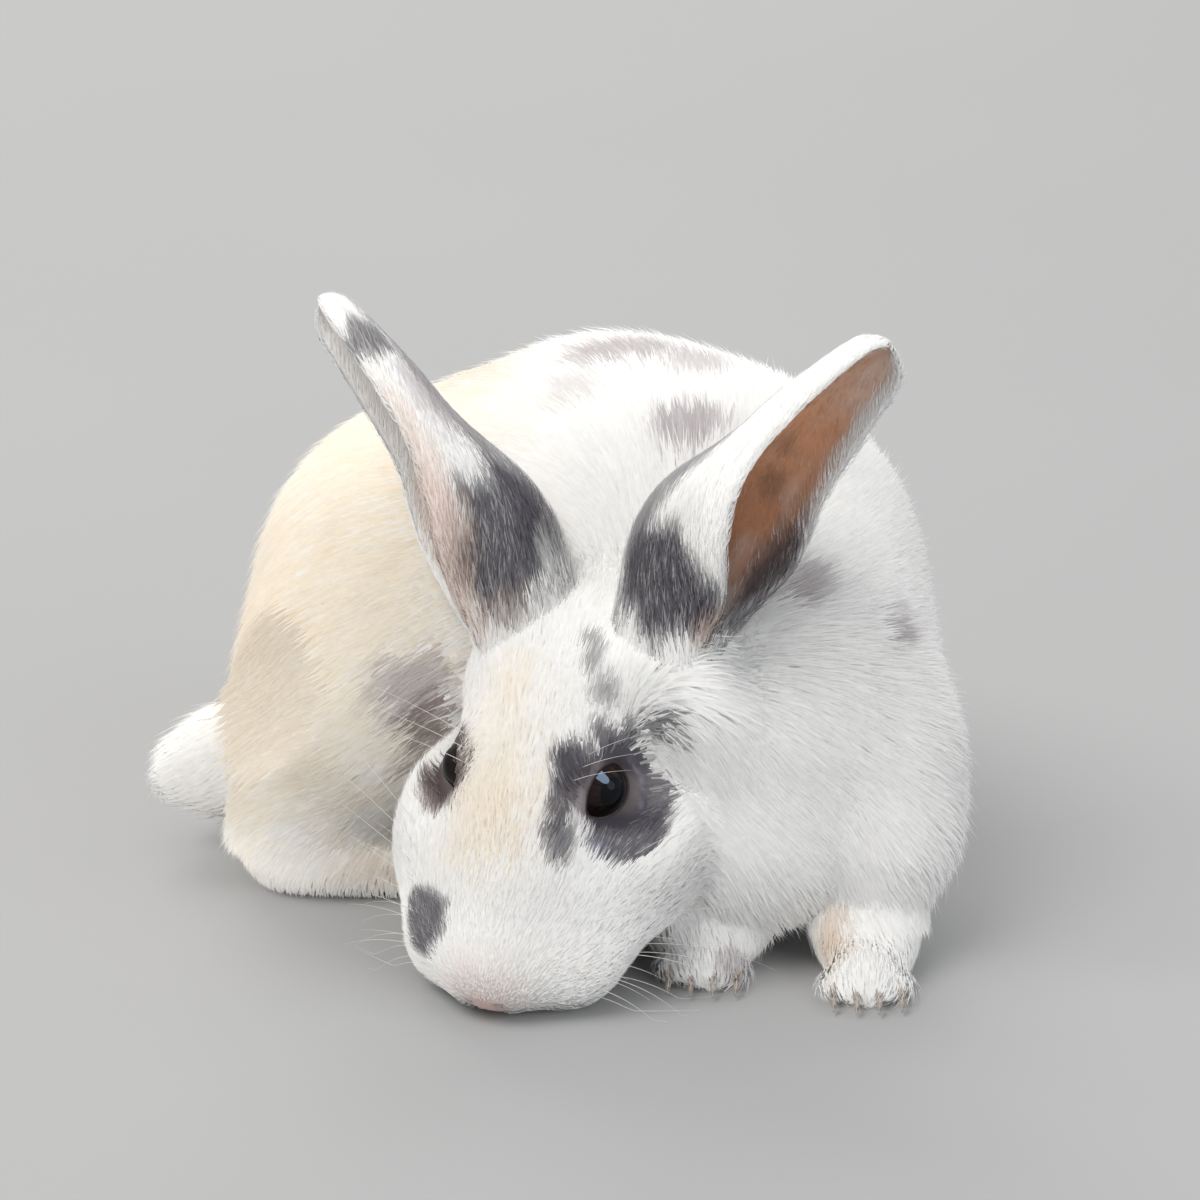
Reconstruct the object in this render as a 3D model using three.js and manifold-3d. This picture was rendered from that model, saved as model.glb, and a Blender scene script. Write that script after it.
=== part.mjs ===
// A life-size domestic rabbit that grazes in a crouch: body curled to its own right, nose at the ground,
// ears up. The flesh is one smooth field of blended blobs and limbs. It is meshed at a coarse pitch for
// the trunk and at finer ones for the head and feet, then parted with thin cuts into the pieces that a
// person would name. Millimetres, +Z up. While it is built, the chest points along -Y, X runs to the
// rabbit's left and the origin is the ground under the left forepaw's toes. At the end everything is
// moved to the centre of the footprint.

import * as THREE from 'three';
import { mergeVertices } from 'three/addons/utils/BufferGeometryUtils.js';
import Module from 'manifold-3d';

const wasm = await Module();
wasm.setup();

// ---------------------------------------------------------------- driving dimensions

const GAP = 0.35; // clearance between pieces that touch
const REACH = 400; // larger than the animal, for cutting blocks
const CREASE = 7; // rounding between the head and the body that it lies against
const TRUNK_FACET = 20.4; // facet sizes
const HEAD_FACET = 9;
const LEG_FACET = 10;
const HIND_FOOT_FACET = 9.5;
const PAW_FACET = 7.4;
const TAIL_FACET = 9;

const HEAD_YAW = 24; // the head turns this far to the rabbit's right
const HEAD_TIP = 45; // slope of the skull's axis below the horizon
const HEAD_CENTRE = [-87, 26.4, 61]; // between the eyes

const EYE_RADIUS = 8.9;
const EYE_PLACE = [17.4, 4, 0.5]; // left eyeball from the head's centre: left, forward, up
const EYE_LOOK = [0.88, 0.25, 0.4]; // where the left eye looks
const CORNEA_RADIUS = 6.6;
const CORNEA_SHIFT = 3.3;
const ORBIT_RADIUS = 13; // round hollow of fur that the eye looks out of
const ORBIT_OUT = 17.6; // from the eyeball's centre

const EAR_THICK = 3.8;
const EAR_WIDEST_AT = 0.48; // share of the length

const FORE_TOE_RADIUS = 5;
const HIND_TOE_RADIUS = 5.4;
const TOE_SPREAD = 6.2; // between neighbouring toes
const CLAW_LENGTH = 8.5;
const CLAW_RADIUS = 1.5;

// ---------------------------------------------------------------- frames

const radians = THREE.MathUtils.degToRad;
const vector = (v) => (v.isVector3 ? v.clone() : new THREE.Vector3(...v));

// Axes of a frame that faces down -Y, then turns to its right by yaw and tips its front down.
function facing(yaw, tip) {
  const y = radians(yaw);
  const p = radians(tip);
  return {
    left: new THREE.Vector3(Math.cos(y), -Math.sin(y), 0),
    forward: new THREE.Vector3(-Math.cos(p) * Math.sin(y), -Math.cos(p) * Math.cos(y), -Math.sin(p)),
    up: new THREE.Vector3(-Math.sin(p) * Math.sin(y), -Math.sin(p) * Math.cos(y), Math.cos(p)),
  };
}

const level = facing(0, 0);
const skull = facing(HEAD_YAW, HEAD_TIP);

function turned(frame, [left, forward, up]) {
  return new THREE.Vector3()
    .addScaledVector(frame.left, left)
    .addScaledVector(frame.forward, forward)
    .addScaledVector(frame.up, up);
}

const onHead = (left, forward, up) => vector(HEAD_CENTRE).add(turned(skull, [left, forward, up]));
const mirrored = ([left, forward, up], side) => [side * left, forward, up];

// ---------------------------------------------------------------- distance field

// An ellipsoid with half-sizes along left, forward and up of its frame.
function blob(centre, halves, blend, frame = level) {
  const c = vector(centre);
  const [a, b, h] = halves;
  const { left, forward, up } = frame;
  return {
    blend,
    distance(x, y, z) {
      const dx = x - c.x;
      const dy = y - c.y;
      const dz = z - c.z;
      const u = (dx * left.x + dy * left.y + dz * left.z) / a;
      const v = (dx * forward.x + dy * forward.y + dz * forward.z) / b;
      const w = (dx * up.x + dy * up.y + dz * up.z) / h;
      const k0 = Math.hypot(u, v, w);
      const k1 = Math.hypot(u / a, v / b, w / h);
      return k1 < 1e-9 ? -Math.min(a, b, h) : (k0 * (k0 - 1)) / k1;
    },
  };
}

// A limb from one round end to another, with its own radius at each.
function limb(from, to, r1, r2, blend) {
  const a = vector(from);
  const d = vector(to).sub(a);
  const length2 = d.lengthSq();
  return {
    blend,
    distance(x, y, z) {
      const px = x - a.x;
      const py = y - a.y;
      const pz = z - a.z;
      const t = Math.min(1, Math.max(0, (px * d.x + py * d.y + pz * d.z) / length2));
      return Math.hypot(px - t * d.x, py - t * d.y, pz - t * d.z) - (r1 + (r2 - r1) * t);
    },
  };
}

// Rounded union of the shapes of a list, each blended over its own width.
function field(shapes) {
  return (x, y, z) => {
    let total = REACH;
    for (const s of shapes) {
      const d = s.distance(x, y, z);
      const h = Math.max(s.blend - Math.abs(total - d), 0) / s.blend;
      total = Math.min(total, d) - (h * h * s.blend) / 4;
    }
    return total;
  };
}

// ---------------------------------------------------------------- the animal's masses

const bothSides = (make) => [1, -1].map(make);

const headShapes = [
  blob(onHead(0, -20, -8), [29.5, 38, 29], 1, skull), // brain case and forehead
  blob(onHead(0, 10, -4), [23.5, 34, 21], 12, skull), // brow and root of the nose
  blob(onHead(0, 38, -9), [19, 26, 17], 10, skull), // bridge of the nose
  blob(onHead(0, 54, -14), [17, 13.5, 13], 8, skull), // nose
  blob(onHead(0, 38, -32), [13, 16, 9], 8, skull), // chin
  ...bothSides((s) => blob(onHead(16 * s, 41, -20), [17, 20, 16], 8, skull)), // whisker pads
  ...bothSides((s) => blob(onHead(12 * s, 28, -12), [15, 24, 15], 10, skull)), // sides of the nose
  ...bothSides((s) => blob(onHead(24 * s, 14, -19), [20, 28, 19], 10, skull)), // cheeks
  ...bothSides((s) => blob(onHead(16 * s, -10, -28), [19, 26, 22], 10, skull)), // angles of the jaw
];

const neckShapes = [
  limb(onHead(6, -34, -20), [-32, 70, 66], 25, 34, 12), // nape and sides of the neck
  blob([-46, 38, 42], [34, 24, 30], 20), // ruff of the throat
];

const trunkShapes = [
  blob([-22, 64, 58], [46, 42, 47], 22), // shoulders and chest
  blob([-38, 96, 80], [59, 48, 67], 24), // rib cage
  blob([-66, 124, 80], [66, 62, 69], 26), // back and belly
  blob([-117, 130, 64], [53.5, 62, 63], 26), // loin and rump
  blob([-32, 44, 34], [38, 28, 22], 20), // brisket
  blob([5, 50, 44], [24, 26, 34], 16), // left upper arm
  blob([-62, 52, 42], [22, 26, 30], 16), // right upper arm
];

const rightHaunchShapes = [
  blob([-134, 98, 48], [40, 36, 44], 20), // thigh
  blob([-149, 90, 22], [26, 24, 22], 14), // hock
];

const leftHaunchShapes = [
  blob([-98, 176, 50], [48, 36, 48], 20),
  blob([-122, 186, 24], [26, 22, 21], 14),
];

const tailShapes = [
  limb([-158, 122, 33], [-176, 115, 26], 15, 15, 10),
  limb([-176, 115, 26], [-185, 112, 25], 15, 13, 8),
];

// ---------------------------------------------------------------- legs

// Each leg: the joint at its top, its wrist or heel, the ball of the foot and the heading of its toes.
const FORELEGS = {
  left: { elbow: [6, 36, 36], wrist: [3, 26, 12], ball: [2, 9, 7], yaw: 0 },
  right: { elbow: [-46, 46, 36], wrist: [-41, 35, 12], ball: [-42, 20, 7], yaw: 4 },
};

const HIND_FEET = {
  left: { heel: [-124, 192, 12], ball: [-66, 194, 8], yaw: -90 },
  right: { heel: [-157, 86, 12], ball: [-98, 79, 8], yaw: -83 },
};

// Ends of the four toes that fan out from the ball of a foot.
function toeEnds(ball, yaw, reach) {
  return [-1.5, -0.5, 0.5, 1.5].map((place) => {
    const heading = facing(yaw, 0);
    const forward = reach - Math.abs(place) * 1.6;
    return vector(ball)
      .addScaledVector(heading.forward, forward)
      .addScaledVector(heading.left, place * TOE_SPREAD)
      .setZ(5);
  });
}

const foreToes = ({ ball, yaw }) => toeEnds(ball, yaw, 6);
const hindToes = ({ ball, yaw }) => toeEnds(ball, yaw, 22);

function forelegShapes(leg) {
  return [
    limb(leg.elbow, leg.wrist, 17, 12.5, 14),
    limb([leg.wrist[0], leg.wrist[1], 9], leg.ball, 12, 11, 10),
    ...foreToes(leg).map((end) => limb(leg.ball, end, 8, FORE_TOE_RADIUS, 3)),
  ];
}

function hindFootShapes(foot) {
  return [
    limb(foot.heel, foot.ball, 14.5, 12, 8),
    ...hindToes(foot).map((end) => limb(foot.ball, end, 8, HIND_TOE_RADIUS, 3)),
  ];
}

// The head blends with the neck alone, so that a crease is left where it lies against the flank.
const frontFlesh = field([...headShapes, ...neckShapes]);
const rearFlesh = field([
  ...neckShapes,
  ...trunkShapes,
  ...rightHaunchShapes,
  ...leftHaunchShapes,
  ...tailShapes,
  ...Object.values(FORELEGS).flatMap(forelegShapes),
  ...Object.values(HIND_FEET).flatMap(hindFootShapes),
]);
const flesh = field([
  { distance: frontFlesh, blend: 1 },
  { distance: rearFlesh, blend: CREASE },
]);

// ---------------------------------------------------------------- meshing a field

const CORNERS = [0, 1, 2, 3, 4, 5, 6, 7].map((i) => [i & 1, (i >> 1) & 1, (i >> 2) & 1]);

// Moves a point onto the zero surface of a field.
function settle(distance, p) {
  const e = 0.05;
  for (let i = 0; i < 4; i += 1) {
    const g = new THREE.Vector3(
      distance(p.x + e, p.y, p.z) - distance(p.x - e, p.y, p.z),
      distance(p.x, p.y + e, p.z) - distance(p.x, p.y - e, p.z),
      distance(p.x, p.y, p.z + e) - distance(p.x, p.y, p.z - e),
    ).divideScalar(2 * e);
    const step = distance(p.x, p.y, p.z) / Math.max(g.lengthSq(), 0.2);
    p.addScaledVector(g, -THREE.MathUtils.clamp(step, -2, 2));
  }
  return p;
}

// Mean of the points where a cell's edges cross the surface, in cell units.
function crossingCentre(value, index, cell) {
  const sum = new THREE.Vector3();
  let count = 0;
  for (const corner of CORNERS) {
    for (let axis = 0; axis < 3; axis += 1) {
      if (corner[axis] === 1) continue;
      const from = corner.map((c, m) => c + cell[m]);
      const to = from.map((c, m) => (m === axis ? c + 1 : c));
      const d0 = value[index(...from)];
      const d1 = value[index(...to)];
      if (d0 < 0 === d1 < 0) continue;
      sum.add(new THREE.Vector3(...from).lerp(new THREE.Vector3(...to), d0 / (d0 - d1)));
      count += 1;
    }
  }
  return sum.divideScalar(count);
}

// Two triangles for a quad, split along its shorter diagonal.
function splitQuad([a, b, c, d], positions) {
  const point = (i) => new THREE.Vector3().fromArray(positions, 3 * i);
  const short = point(a).distanceTo(point(c)) <= point(b).distanceTo(point(d));
  return short ? [a, b, c, a, c, d] : [b, c, d, b, d, a];
}

// A field cut off by the sides of a box, a pitch inside them.
function boxed(shape, low, high, pitch) {
  const middle = low.map((v, i) => (v + high[i]) / 2);
  const half = low.map((v, i) => (high[i] - v) / 2 - pitch);
  return (x, y, z) =>
    Math.max(
      shape(x, y, z),
      Math.abs(x - middle[0]) - half[0],
      Math.abs(y - middle[1]) - half[1],
      Math.abs(z - middle[2]) - half[2],
    );
}

// Values of a field at the corners of a grid of n cells, and the lowest corner of each cell.
function sampled(distance, low, n, pitch, index) {
  const cells = [];
  const value = new Float64Array(n[0] * n[1] * n[2]);
  for (let k = 0; k < n[2]; k += 1) {
    for (let j = 0; j < n[1]; j += 1) {
      for (let i = 0; i < n[0]; i += 1) {
        value[index(i, j, k)] = distance(low[0] + i * pitch, low[1] + j * pitch, low[2] + k * pitch);
        if (i * j * k > 0) cells.push([i - 1, j - 1, k - 1]);
      }
    }
  }
  return { cells, value };
}

// Closed mesh of the part of a field's surface that a box holds, by surface nets: one vertex in each
// cell that the surface crosses, and one quad round each grid edge that it crosses.
function meshOf(shape, low, high, pitch) {
  const distance = boxed(shape, low, high, pitch);
  const n = high.map((h, i) => Math.ceil((h - low[i]) / pitch) + 2);
  const index = (i, j, k) => (k * n[1] + j) * n[0] + i;
  const { cells, value } = sampled(distance, low, n, pitch, index);
  const vertexOf = new Map();
  const positions = [];
  for (const cell of cells) {
    const inside = CORNERS.filter((c) => value[index(...c.map((v, m) => v + cell[m]))] < 0).length;
    if (inside === 0 || inside === 8) continue;
    const p = crossingCentre(value, index, cell).multiplyScalar(pitch).add(new THREE.Vector3(...low));
    vertexOf.set(index(...cell), positions.length / 3);
    positions.push(...settle(distance, p).toArray());
  }
  const steps = [index(1, 0, 0), index(0, 1, 0), index(0, 0, 1)];
  const starts = cells.map((cell) => index(...cell));
  return indexed(positions, netFaces(value, starts, steps, vertexOf, positions));
}

// Triangles of a surface net: a quad round each grid edge whose ends lie on different sides.
function netFaces(value, starts, steps, vertexOf, positions) {
  const faces = [];
  for (const here of starts) {
    for (let axis = 0; axis < 3; axis += 1) {
      const inside = value[here] < 0;
      if (inside === value[here + steps[axis]] < 0) continue;
      const u = steps[(axis + 1) % 3];
      const v = steps[(axis + 2) % 3];
      const quad = [here, here - u, here - u - v, here - v].map((q) => vertexOf.get(q));
      faces.push(...splitQuad(inside ? quad : quad.reverse(), positions));
    }
  }
  return faces;
}

function indexed(positions, faces) {
  const geometry = new THREE.BufferGeometry();
  geometry.setAttribute('position', new THREE.Float32BufferAttribute(positions, 3));
  geometry.setIndex(faces);
  return geometry;
}

// ---------------------------------------------------------------- solids and cutters

function bare(geometry) {
  const copy = geometry.clone();
  copy.deleteAttribute('normal');
  copy.deleteAttribute('uv');
  return mergeVertices(copy, 1e-4);
}

function solid(geometry) {
  const merged = bare(geometry);
  return new wasm.Manifold(
    new wasm.Mesh({
      numProp: 3,
      vertProperties: new Float32Array(merged.attributes.position.array),
      triVerts: new Uint32Array(merged.index.array),
    }),
  );
}

function geometryOf(manifold) {
  const mesh = manifold.getMesh();
  return indexed([...mesh.vertProperties], [...mesh.triVerts]);
}

// The same mesh with each vertex moved outward, for the clearance round a neighbour.
function grown(geometry, by) {
  const copy = bare(geometry);
  copy.computeVertexNormals();
  const { position, normal } = copy.attributes;
  for (let i = 0; i < position.count; i += 1) {
    const n = new THREE.Vector3().fromBufferAttribute(normal, i);
    const p = new THREE.Vector3().fromBufferAttribute(position, i).addScaledVector(n, by);
    position.setXYZ(i, p.x, p.y, p.z);
  }
  return copy;
}

// A block that fills the side of a plane that its normal points to.
function sideOf(point, normal, shift = 0) {
  const n = vector(normal).normalize();
  const block = new THREE.BoxGeometry(REACH, REACH, REACH);
  block.translate(0, 0, REACH / 2 + shift);
  block.applyQuaternion(new THREE.Quaternion().setFromUnitVectors(new THREE.Vector3(0, 0, 1), n));
  block.translate(...vector(point).toArray());
  return solid(block);
}

function ellipsoid(centre, halves, frame = level) {
  const geometry = new THREE.SphereGeometry(1, 12, 8);
  const axes = new THREE.Matrix4().makeBasis(frame.left, frame.forward.clone().negate(), frame.up);
  return geometry.scale(...halves).applyMatrix4(axes).translate(...vector(centre).toArray());
}

// The largest body of a solid, without the crumbs that a cut can leave.
function mainBody(manifold) {
  const bodies = manifold.decompose();
  return bodies.reduce((best, body) => (body.volume() > best.volume() ? body : best));
}

// What is left of a base solid outside a list of neighbours, each with its clearance.
function clearOf(base, neighbours) {
  return neighbours.reduce((left, other) => left.subtract(solid(grown(other, GAP))), base);
}

// ---------------------------------------------------------------- ears

// Each ear: the ends of its midline, the midline's bend, where its mouth faces, the radius of its roll at
// the root and where widest, and how much deeper than round the roll is.
const EARS = {
  left: {
    root: [-53, 34, 93],
    tip: [6.5, 41, 176.5],
    bend: [-19, 0, 0],
    mouth: [0.75, -0.62, 0.1],
    radii: [10.5, 19],
    depth: 1.4,
  },
  right: {
    root: [-89.5, 51, 87],
    tip: [-147, 87, 174],
    bend: [14, -13, 2],
    mouth: [-0.97, -0.2, -0.1],
    radii: [11.5, 18],
    depth: 1.25,
  },
};
const EAR_ROWS = 10;
const EAR_COLUMNS = 8;

// Radius of the rolled sheet at a share t of the ear's length, with a round tip.
function earRadius([root, widest], t) {
  const rise = THREE.MathUtils.smoothstep(t, 0, EAR_WIDEST_AT);
  const fall = Math.max(t - EAR_WIDEST_AT, 0) / (1 - EAR_WIDEST_AT);
  const base = root + (widest - root) * rise;
  const taper = Math.cos((Math.PI / 2) * 0.84 * fall) ** 0.75;
  const end = Math.max((t - 0.93) / 0.07, 0);
  return base * taper * Math.sqrt(1 - 0.85 * end * end);
}

// Half the angle that the sheet is rolled through: nearly a tube at its root, a trough at its tip.
function earHalfRoll(t) {
  return radians(158 - 78 * THREE.MathUtils.smoothstep(t, 0.05, 0.65));
}

// One closed ring of the sheet: along its outer face, then back along its inner face.
function earRing(line, ear, t) {
  const centre = line.getPoint(t);
  const along = line.getTangent(t);
  const mouth = vector(ear.mouth);
  const front = mouth.clone().addScaledVector(along, -mouth.dot(along)).normalize();
  const side = new THREE.Vector3().crossVectors(along, front);
  const radius = earRadius(ear.radii, t);
  const roll = earHalfRoll(t);
  const thick = EAR_THICK * (1 - 0.4 * t);
  const middle = (radius * ear.depth * (1 + Math.cos(roll))) / 2;
  const ring = [];
  for (const layer of [1, -1]) {
    for (let c = 0; c <= EAR_COLUMNS; c += 1) {
      const place = layer * ((2 * c) / EAR_COLUMNS - 1);
      const r = radius + (layer * thick * (1 - 0.3 * place ** 6)) / 2;
      const across = r * Math.sin(roll * place);
      const lift = middle - r * ear.depth * Math.cos(roll * place);
      ring.push(centre.clone().addScaledVector(side, across).addScaledVector(front, lift));
    }
  }
  return ring;
}

// Closed mesh through rings of equally many points, with both ends filled by strips.
function loft(rings) {
  const n = rings[0].length;
  const faces = [];
  for (let r = 0; r < rings.length - 1; r += 1) {
    for (let c = 0; c < n; c += 1) {
      const a = r * n + c;
      const b = r * n + ((c + 1) % n);
      faces.push(a, b + n, b, a, a + n, b + n);
    }
  }
  const top = (rings.length - 1) * n;
  for (let c = 1; c < n / 2; c += 1) {
    const [a, b, p, q] = [c - 1, c, n - c, n - 1 - c];
    faces.push(a, b, q, a, q, p);
    faces.push(top + a, top + q, top + b, top + a, top + p, top + q);
  }
  return indexed(rings.flat().flatMap((p) => p.toArray()), faces);
}

function earGeometry(ear) {
  const start = vector(ear.root);
  const end = vector(ear.tip);
  const middle = start.clone().lerp(end, 0.5).add(vector(ear.bend));
  const line = new THREE.QuadraticBezierCurve3(start, middle, end);
  const steps = Array.from({ length: EAR_ROWS + 1 }, (_, r) => r / EAR_ROWS);
  return loft(steps.map((step) => earRing(line, ear, Math.sin((Math.PI / 2) * step) ** 1.15)));
}

// ---------------------------------------------------------------- eyes and claws

// An eyeball with the cornea's bulge, its pole along the line of sight.
function eyeGeometry(side) {
  const look = turned(skull, mirrored(EYE_LOOK, side)).normalize();
  const ball = solid(new THREE.SphereGeometry(EYE_RADIUS, 12, 8));
  const bulge = new THREE.SphereGeometry(CORNEA_RADIUS, 12, 6).translate(0, CORNEA_SHIFT, 0);
  const turn = new THREE.Quaternion().setFromUnitVectors(new THREE.Vector3(0, 1, 0), look);
  const place = onHead(...mirrored(EYE_PLACE, side));
  return geometryOf(ball.add(solid(bulge))).applyQuaternion(turn).translate(...place.toArray());
}

// The hollow in front of an eye, a ball centred outside the head.
function orbitGeometry(side) {
  const look = turned(skull, mirrored(EYE_LOOK, side)).normalize();
  const place = onHead(...mirrored(EYE_PLACE, side)).addScaledVector(look, ORBIT_OUT);
  return new THREE.SphereGeometry(ORBIT_RADIUS, 10, 8).translate(...place.toArray());
}

// A claw: a short horn that bends down from the end of a toe and ends just above the floor.
function clawGeometry(toe, yaw, toeRadius) {
  const heading = facing(yaw, 0).forward;
  const root = vector(toe).addScaledVector(heading, toeRadius - 2.2);
  const middle = root.clone().addScaledVector(heading, CLAW_LENGTH * 0.55);
  const tip = root.clone().addScaledVector(heading, CLAW_LENGTH);
  middle.z -= 0.4;
  tip.z = 1.6;
  const line = new THREE.QuadraticBezierCurve3(root, middle, tip);
  const sides = 6;
  const rings = [0, 0.5, 1].map((t) => {
    const along = line.getTangent(t);
    const across = new THREE.Vector3(0, 0, 1).cross(along).normalize();
    const over = new THREE.Vector3().crossVectors(along, across);
    const radius = CLAW_RADIUS * (1 - 0.72 * t);
    return Array.from({ length: sides }, (_, i) => {
      const angle = (-2 * Math.PI * i) / sides;
      return line
        .getPoint(t)
        .addScaledVector(across, radius * Math.cos(angle))
        .addScaledVector(over, 1.25 * radius * Math.sin(angle));
    });
  });
  return loft(rings);
}

// ---------------------------------------------------------------- materials

function material(color, roughness) {
  return new THREE.MeshStandardMaterial({ color, roughness, metalness: 0 });
}

const white = () => material(0xf1ece6, 0.9);
const cream = () => material(0xf3e2c4, 0.9);
const slate = () => material(0x8e8890, 0.9);
const brown = () => material(0x1b0f0b, 0.08);
const horn = () => material(0xb9a48e, 0.45);

// ---------------------------------------------------------------- parting the animal

const ANIMAL = { low: [-218, -32, -16], high: [52, 236, 172] };
const HEAD_BOX = { low: [-150, -32, -12], high: [-8, 112, 140] };
const TAIL_BOX = { low: [-226, 78, -8], high: [-154, 146, 62] };

// Regions that the pieces take from the flesh.
const REGIONS = {
  head: ellipsoid(onHead(0, 4, -10), [47, 68, 45], skull),
  neck: ellipsoid([-56, 56, 70], [42, 44, 50]),
  tail: ellipsoid([-192, 111, 27], [24, 24, 24]),
  right_thigh: ellipsoid([-138, 88, 44], [46, 36, 52]),
  left_thigh: ellipsoid([-98, 190, 46], [54, 36, 56]),
  left_foreleg: ellipsoid([2, 20, 14], [23, 36, 34]),
  right_foreleg: ellipsoid([-43, 30, 14], [22, 36, 34]),
  left_hind_foot: ellipsoid([-88, 193, 2], [64, 23, 21]),
  right_hind_foot: ellipsoid([-122, 82, 2], [62, 23, 21], facing(7, 0)),
};

const floor = sideOf([0, 0, 0], [0, 0, 1]);

function meshIn({ low, high }, pitch) {
  return solid(meshOf(flesh, low, high, pitch)).intersect(floor);
}

// A region's share of the flesh, meshed at its own pitch.
function share(name, pitch) {
  const region = REGIONS[name];
  region.computeBoundingBox();
  const { min, max } = region.boundingBox;
  const margin = 3 * pitch;
  const box = {
    low: min.toArray().map((v) => v - margin),
    high: max.toArray().map((v) => v + margin),
  };
  return meshIn(box, pitch).intersect(solid(region));
}

const parts = {};

function keep(name, manifold, look) {
  parts[name] = { geometry: geometryOf(mainBody(manifold)), look };
}

function clawSet(leg, toes, radius) {
  return toes.map((toe) => clawGeometry(toe, leg.yaw, radius));
}

const legRegions = [];
for (const [side, leg] of Object.entries(FORELEGS)) {
  const name = `${side}_foreleg`;
  const claws = clawSet(leg, foreToes(leg), FORE_TOE_RADIUS);
  const wrist = [leg.wrist[0], leg.wrist[1] - 3, leg.wrist[2] + 1];
  const toPaw = [0, -0.55, -0.83];
  const paw = share(name, PAW_FACET).intersect(sideOf(wrist, toPaw));
  keep(`${side}_forepaw`, clearOf(paw, claws), white);
  keep(name, share(name, LEG_FACET).subtract(sideOf(wrist, toPaw, -GAP)), white);
  claws.forEach((claw, i) => keep(`${side}_fore_claw_${i + 1}`, solid(claw), horn));
  legRegions.push(REGIONS[name]);
}
for (const [side, foot] of Object.entries(HIND_FEET)) {
  const name = `${side}_hind_foot`;
  const claws = clawSet(foot, hindToes(foot), HIND_TOE_RADIUS);
  keep(name, clearOf(share(name, HIND_FOOT_FACET), claws), white);
  claws.forEach((claw, i) => keep(`${side}_hind_claw_${i + 1}`, solid(claw), horn));
  legRegions.push(REGIONS[name]);
}

const bodyFlesh = meshOf(flesh, ANIMAL.low, ANIMAL.high, TRUNK_FACET);
const headFlesh = meshOf(flesh, HEAD_BOX.low, HEAD_BOX.high, HEAD_FACET);
const eyes = { left: eyeGeometry(1), right: eyeGeometry(-1) };
const orbits = [1, -1].map(orbitGeometry);
const front = solid(headFlesh).intersect(floor);
const sockets = [...orbits, ...Object.values(eyes)];
keep('head', clearOf(front.intersect(solid(REGIONS.head)), [...legRegions, ...sockets]), white);
keep('neck', clearOf(front.intersect(solid(REGIONS.neck)), [...legRegions, REGIONS.head]), white);
for (const [side, spec] of Object.entries(EARS)) {
  keep(`${side}_ear`, clearOf(solid(earGeometry(spec)), [headFlesh, bodyFlesh]), slate);
  keep(`${side}_eye`, solid(eyes[side]), brown);
}

const rear = solid(bodyFlesh).intersect(floor);
const { head, neck, tail, right_thigh: rightThigh, left_thigh: leftThigh } = REGIONS;
keep('trunk', clearOf(rear, [head, neck, tail, rightThigh, leftThigh, ...legRegions]), white);
keep('right_thigh', clearOf(rear.intersect(solid(rightThigh)), [head, neck, tail, ...legRegions]), cream);
keep('left_thigh', clearOf(rear.intersect(solid(leftThigh)), [tail, ...legRegions]), white);
keep('tail', clearOf(meshIn(TAIL_BOX, TAIL_FACET).intersect(solid(tail)), legRegions), white);

// ---------------------------------------------------------------- scene graph

const group = new THREE.Group();
for (const [name, { geometry, look }] of Object.entries(parts)) {
  const mesh = new THREE.Mesh(geometry, look());
  mesh.name = name;
  group.add(mesh);
}
const box = new THREE.Box3().setFromObject(group);
group.position.set(-(box.min.x + box.max.x) / 2, -(box.min.y + box.max.y) / 2, -box.min.z);

export default group;
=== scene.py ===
"""A life-size rabbit that grazes: one skin, a coat of solid tufts over it, eyes, lids, claws and whiskers.

Shapes are worked out in millimetres in the build frame: the chest points along -Y, X runs to the
rabbit's left, +Z is up and the origin is the ground under the toes of the left forepaw. ORIGIN is
where that point is in the row's frame. Everything that is made goes to metres in the row's frame.
"""

import math

import bpy
import numpy as np
import openvdb
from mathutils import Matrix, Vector
from mathutils.kdtree import KDTree


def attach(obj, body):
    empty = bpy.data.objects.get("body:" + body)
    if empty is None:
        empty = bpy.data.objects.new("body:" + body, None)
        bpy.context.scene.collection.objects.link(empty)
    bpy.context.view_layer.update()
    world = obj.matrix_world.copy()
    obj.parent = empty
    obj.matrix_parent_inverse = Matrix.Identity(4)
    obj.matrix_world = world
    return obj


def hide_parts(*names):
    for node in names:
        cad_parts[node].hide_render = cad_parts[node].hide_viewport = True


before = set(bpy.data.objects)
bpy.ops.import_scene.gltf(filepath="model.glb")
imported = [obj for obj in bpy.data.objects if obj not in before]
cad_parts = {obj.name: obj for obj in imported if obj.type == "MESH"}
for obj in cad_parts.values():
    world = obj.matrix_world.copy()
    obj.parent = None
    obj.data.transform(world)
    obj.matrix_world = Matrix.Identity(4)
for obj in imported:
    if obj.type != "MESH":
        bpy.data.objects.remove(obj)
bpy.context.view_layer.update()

MM = 0.001
ORIGIN = np.array((83.883, -94.848, 0.0))
RNG = np.random.default_rng(7)

# ---- sizes, mm. Places on the head are left, forward and up from the skull's centre.

CREASE = 7.0  # rounding where the head meets the body
HEAD_CENTRE = np.array((-87.0, 26.4, 61.0))
HEAD_YAW = 24  # degrees
HEAD_TIP = 45

EYE_RADIUS = 8.9
EYE_PLACE = (17.4, 4.0, 0.5)
EYE_LOOK = (0.88, 0.25, 0.40)
CORNEA_RADIUS = 6.6
CORNEA_SHIFT = 3.3
LID_RADIUS = 10.0
LID_BED = 6.8  # how deep the gap between the lids is cut, from the eyeball's centre
OPEN_LONG = 57.0  # half angles of the gap between the lids, degrees
OPEN_SHORT = 47.0

SKIN_PITCH = 1.35
FLOOR_GAP = 1.2  # the skin stays this far above the floor
TIP_GAP = 0.15  # and the tufts this far

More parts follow.
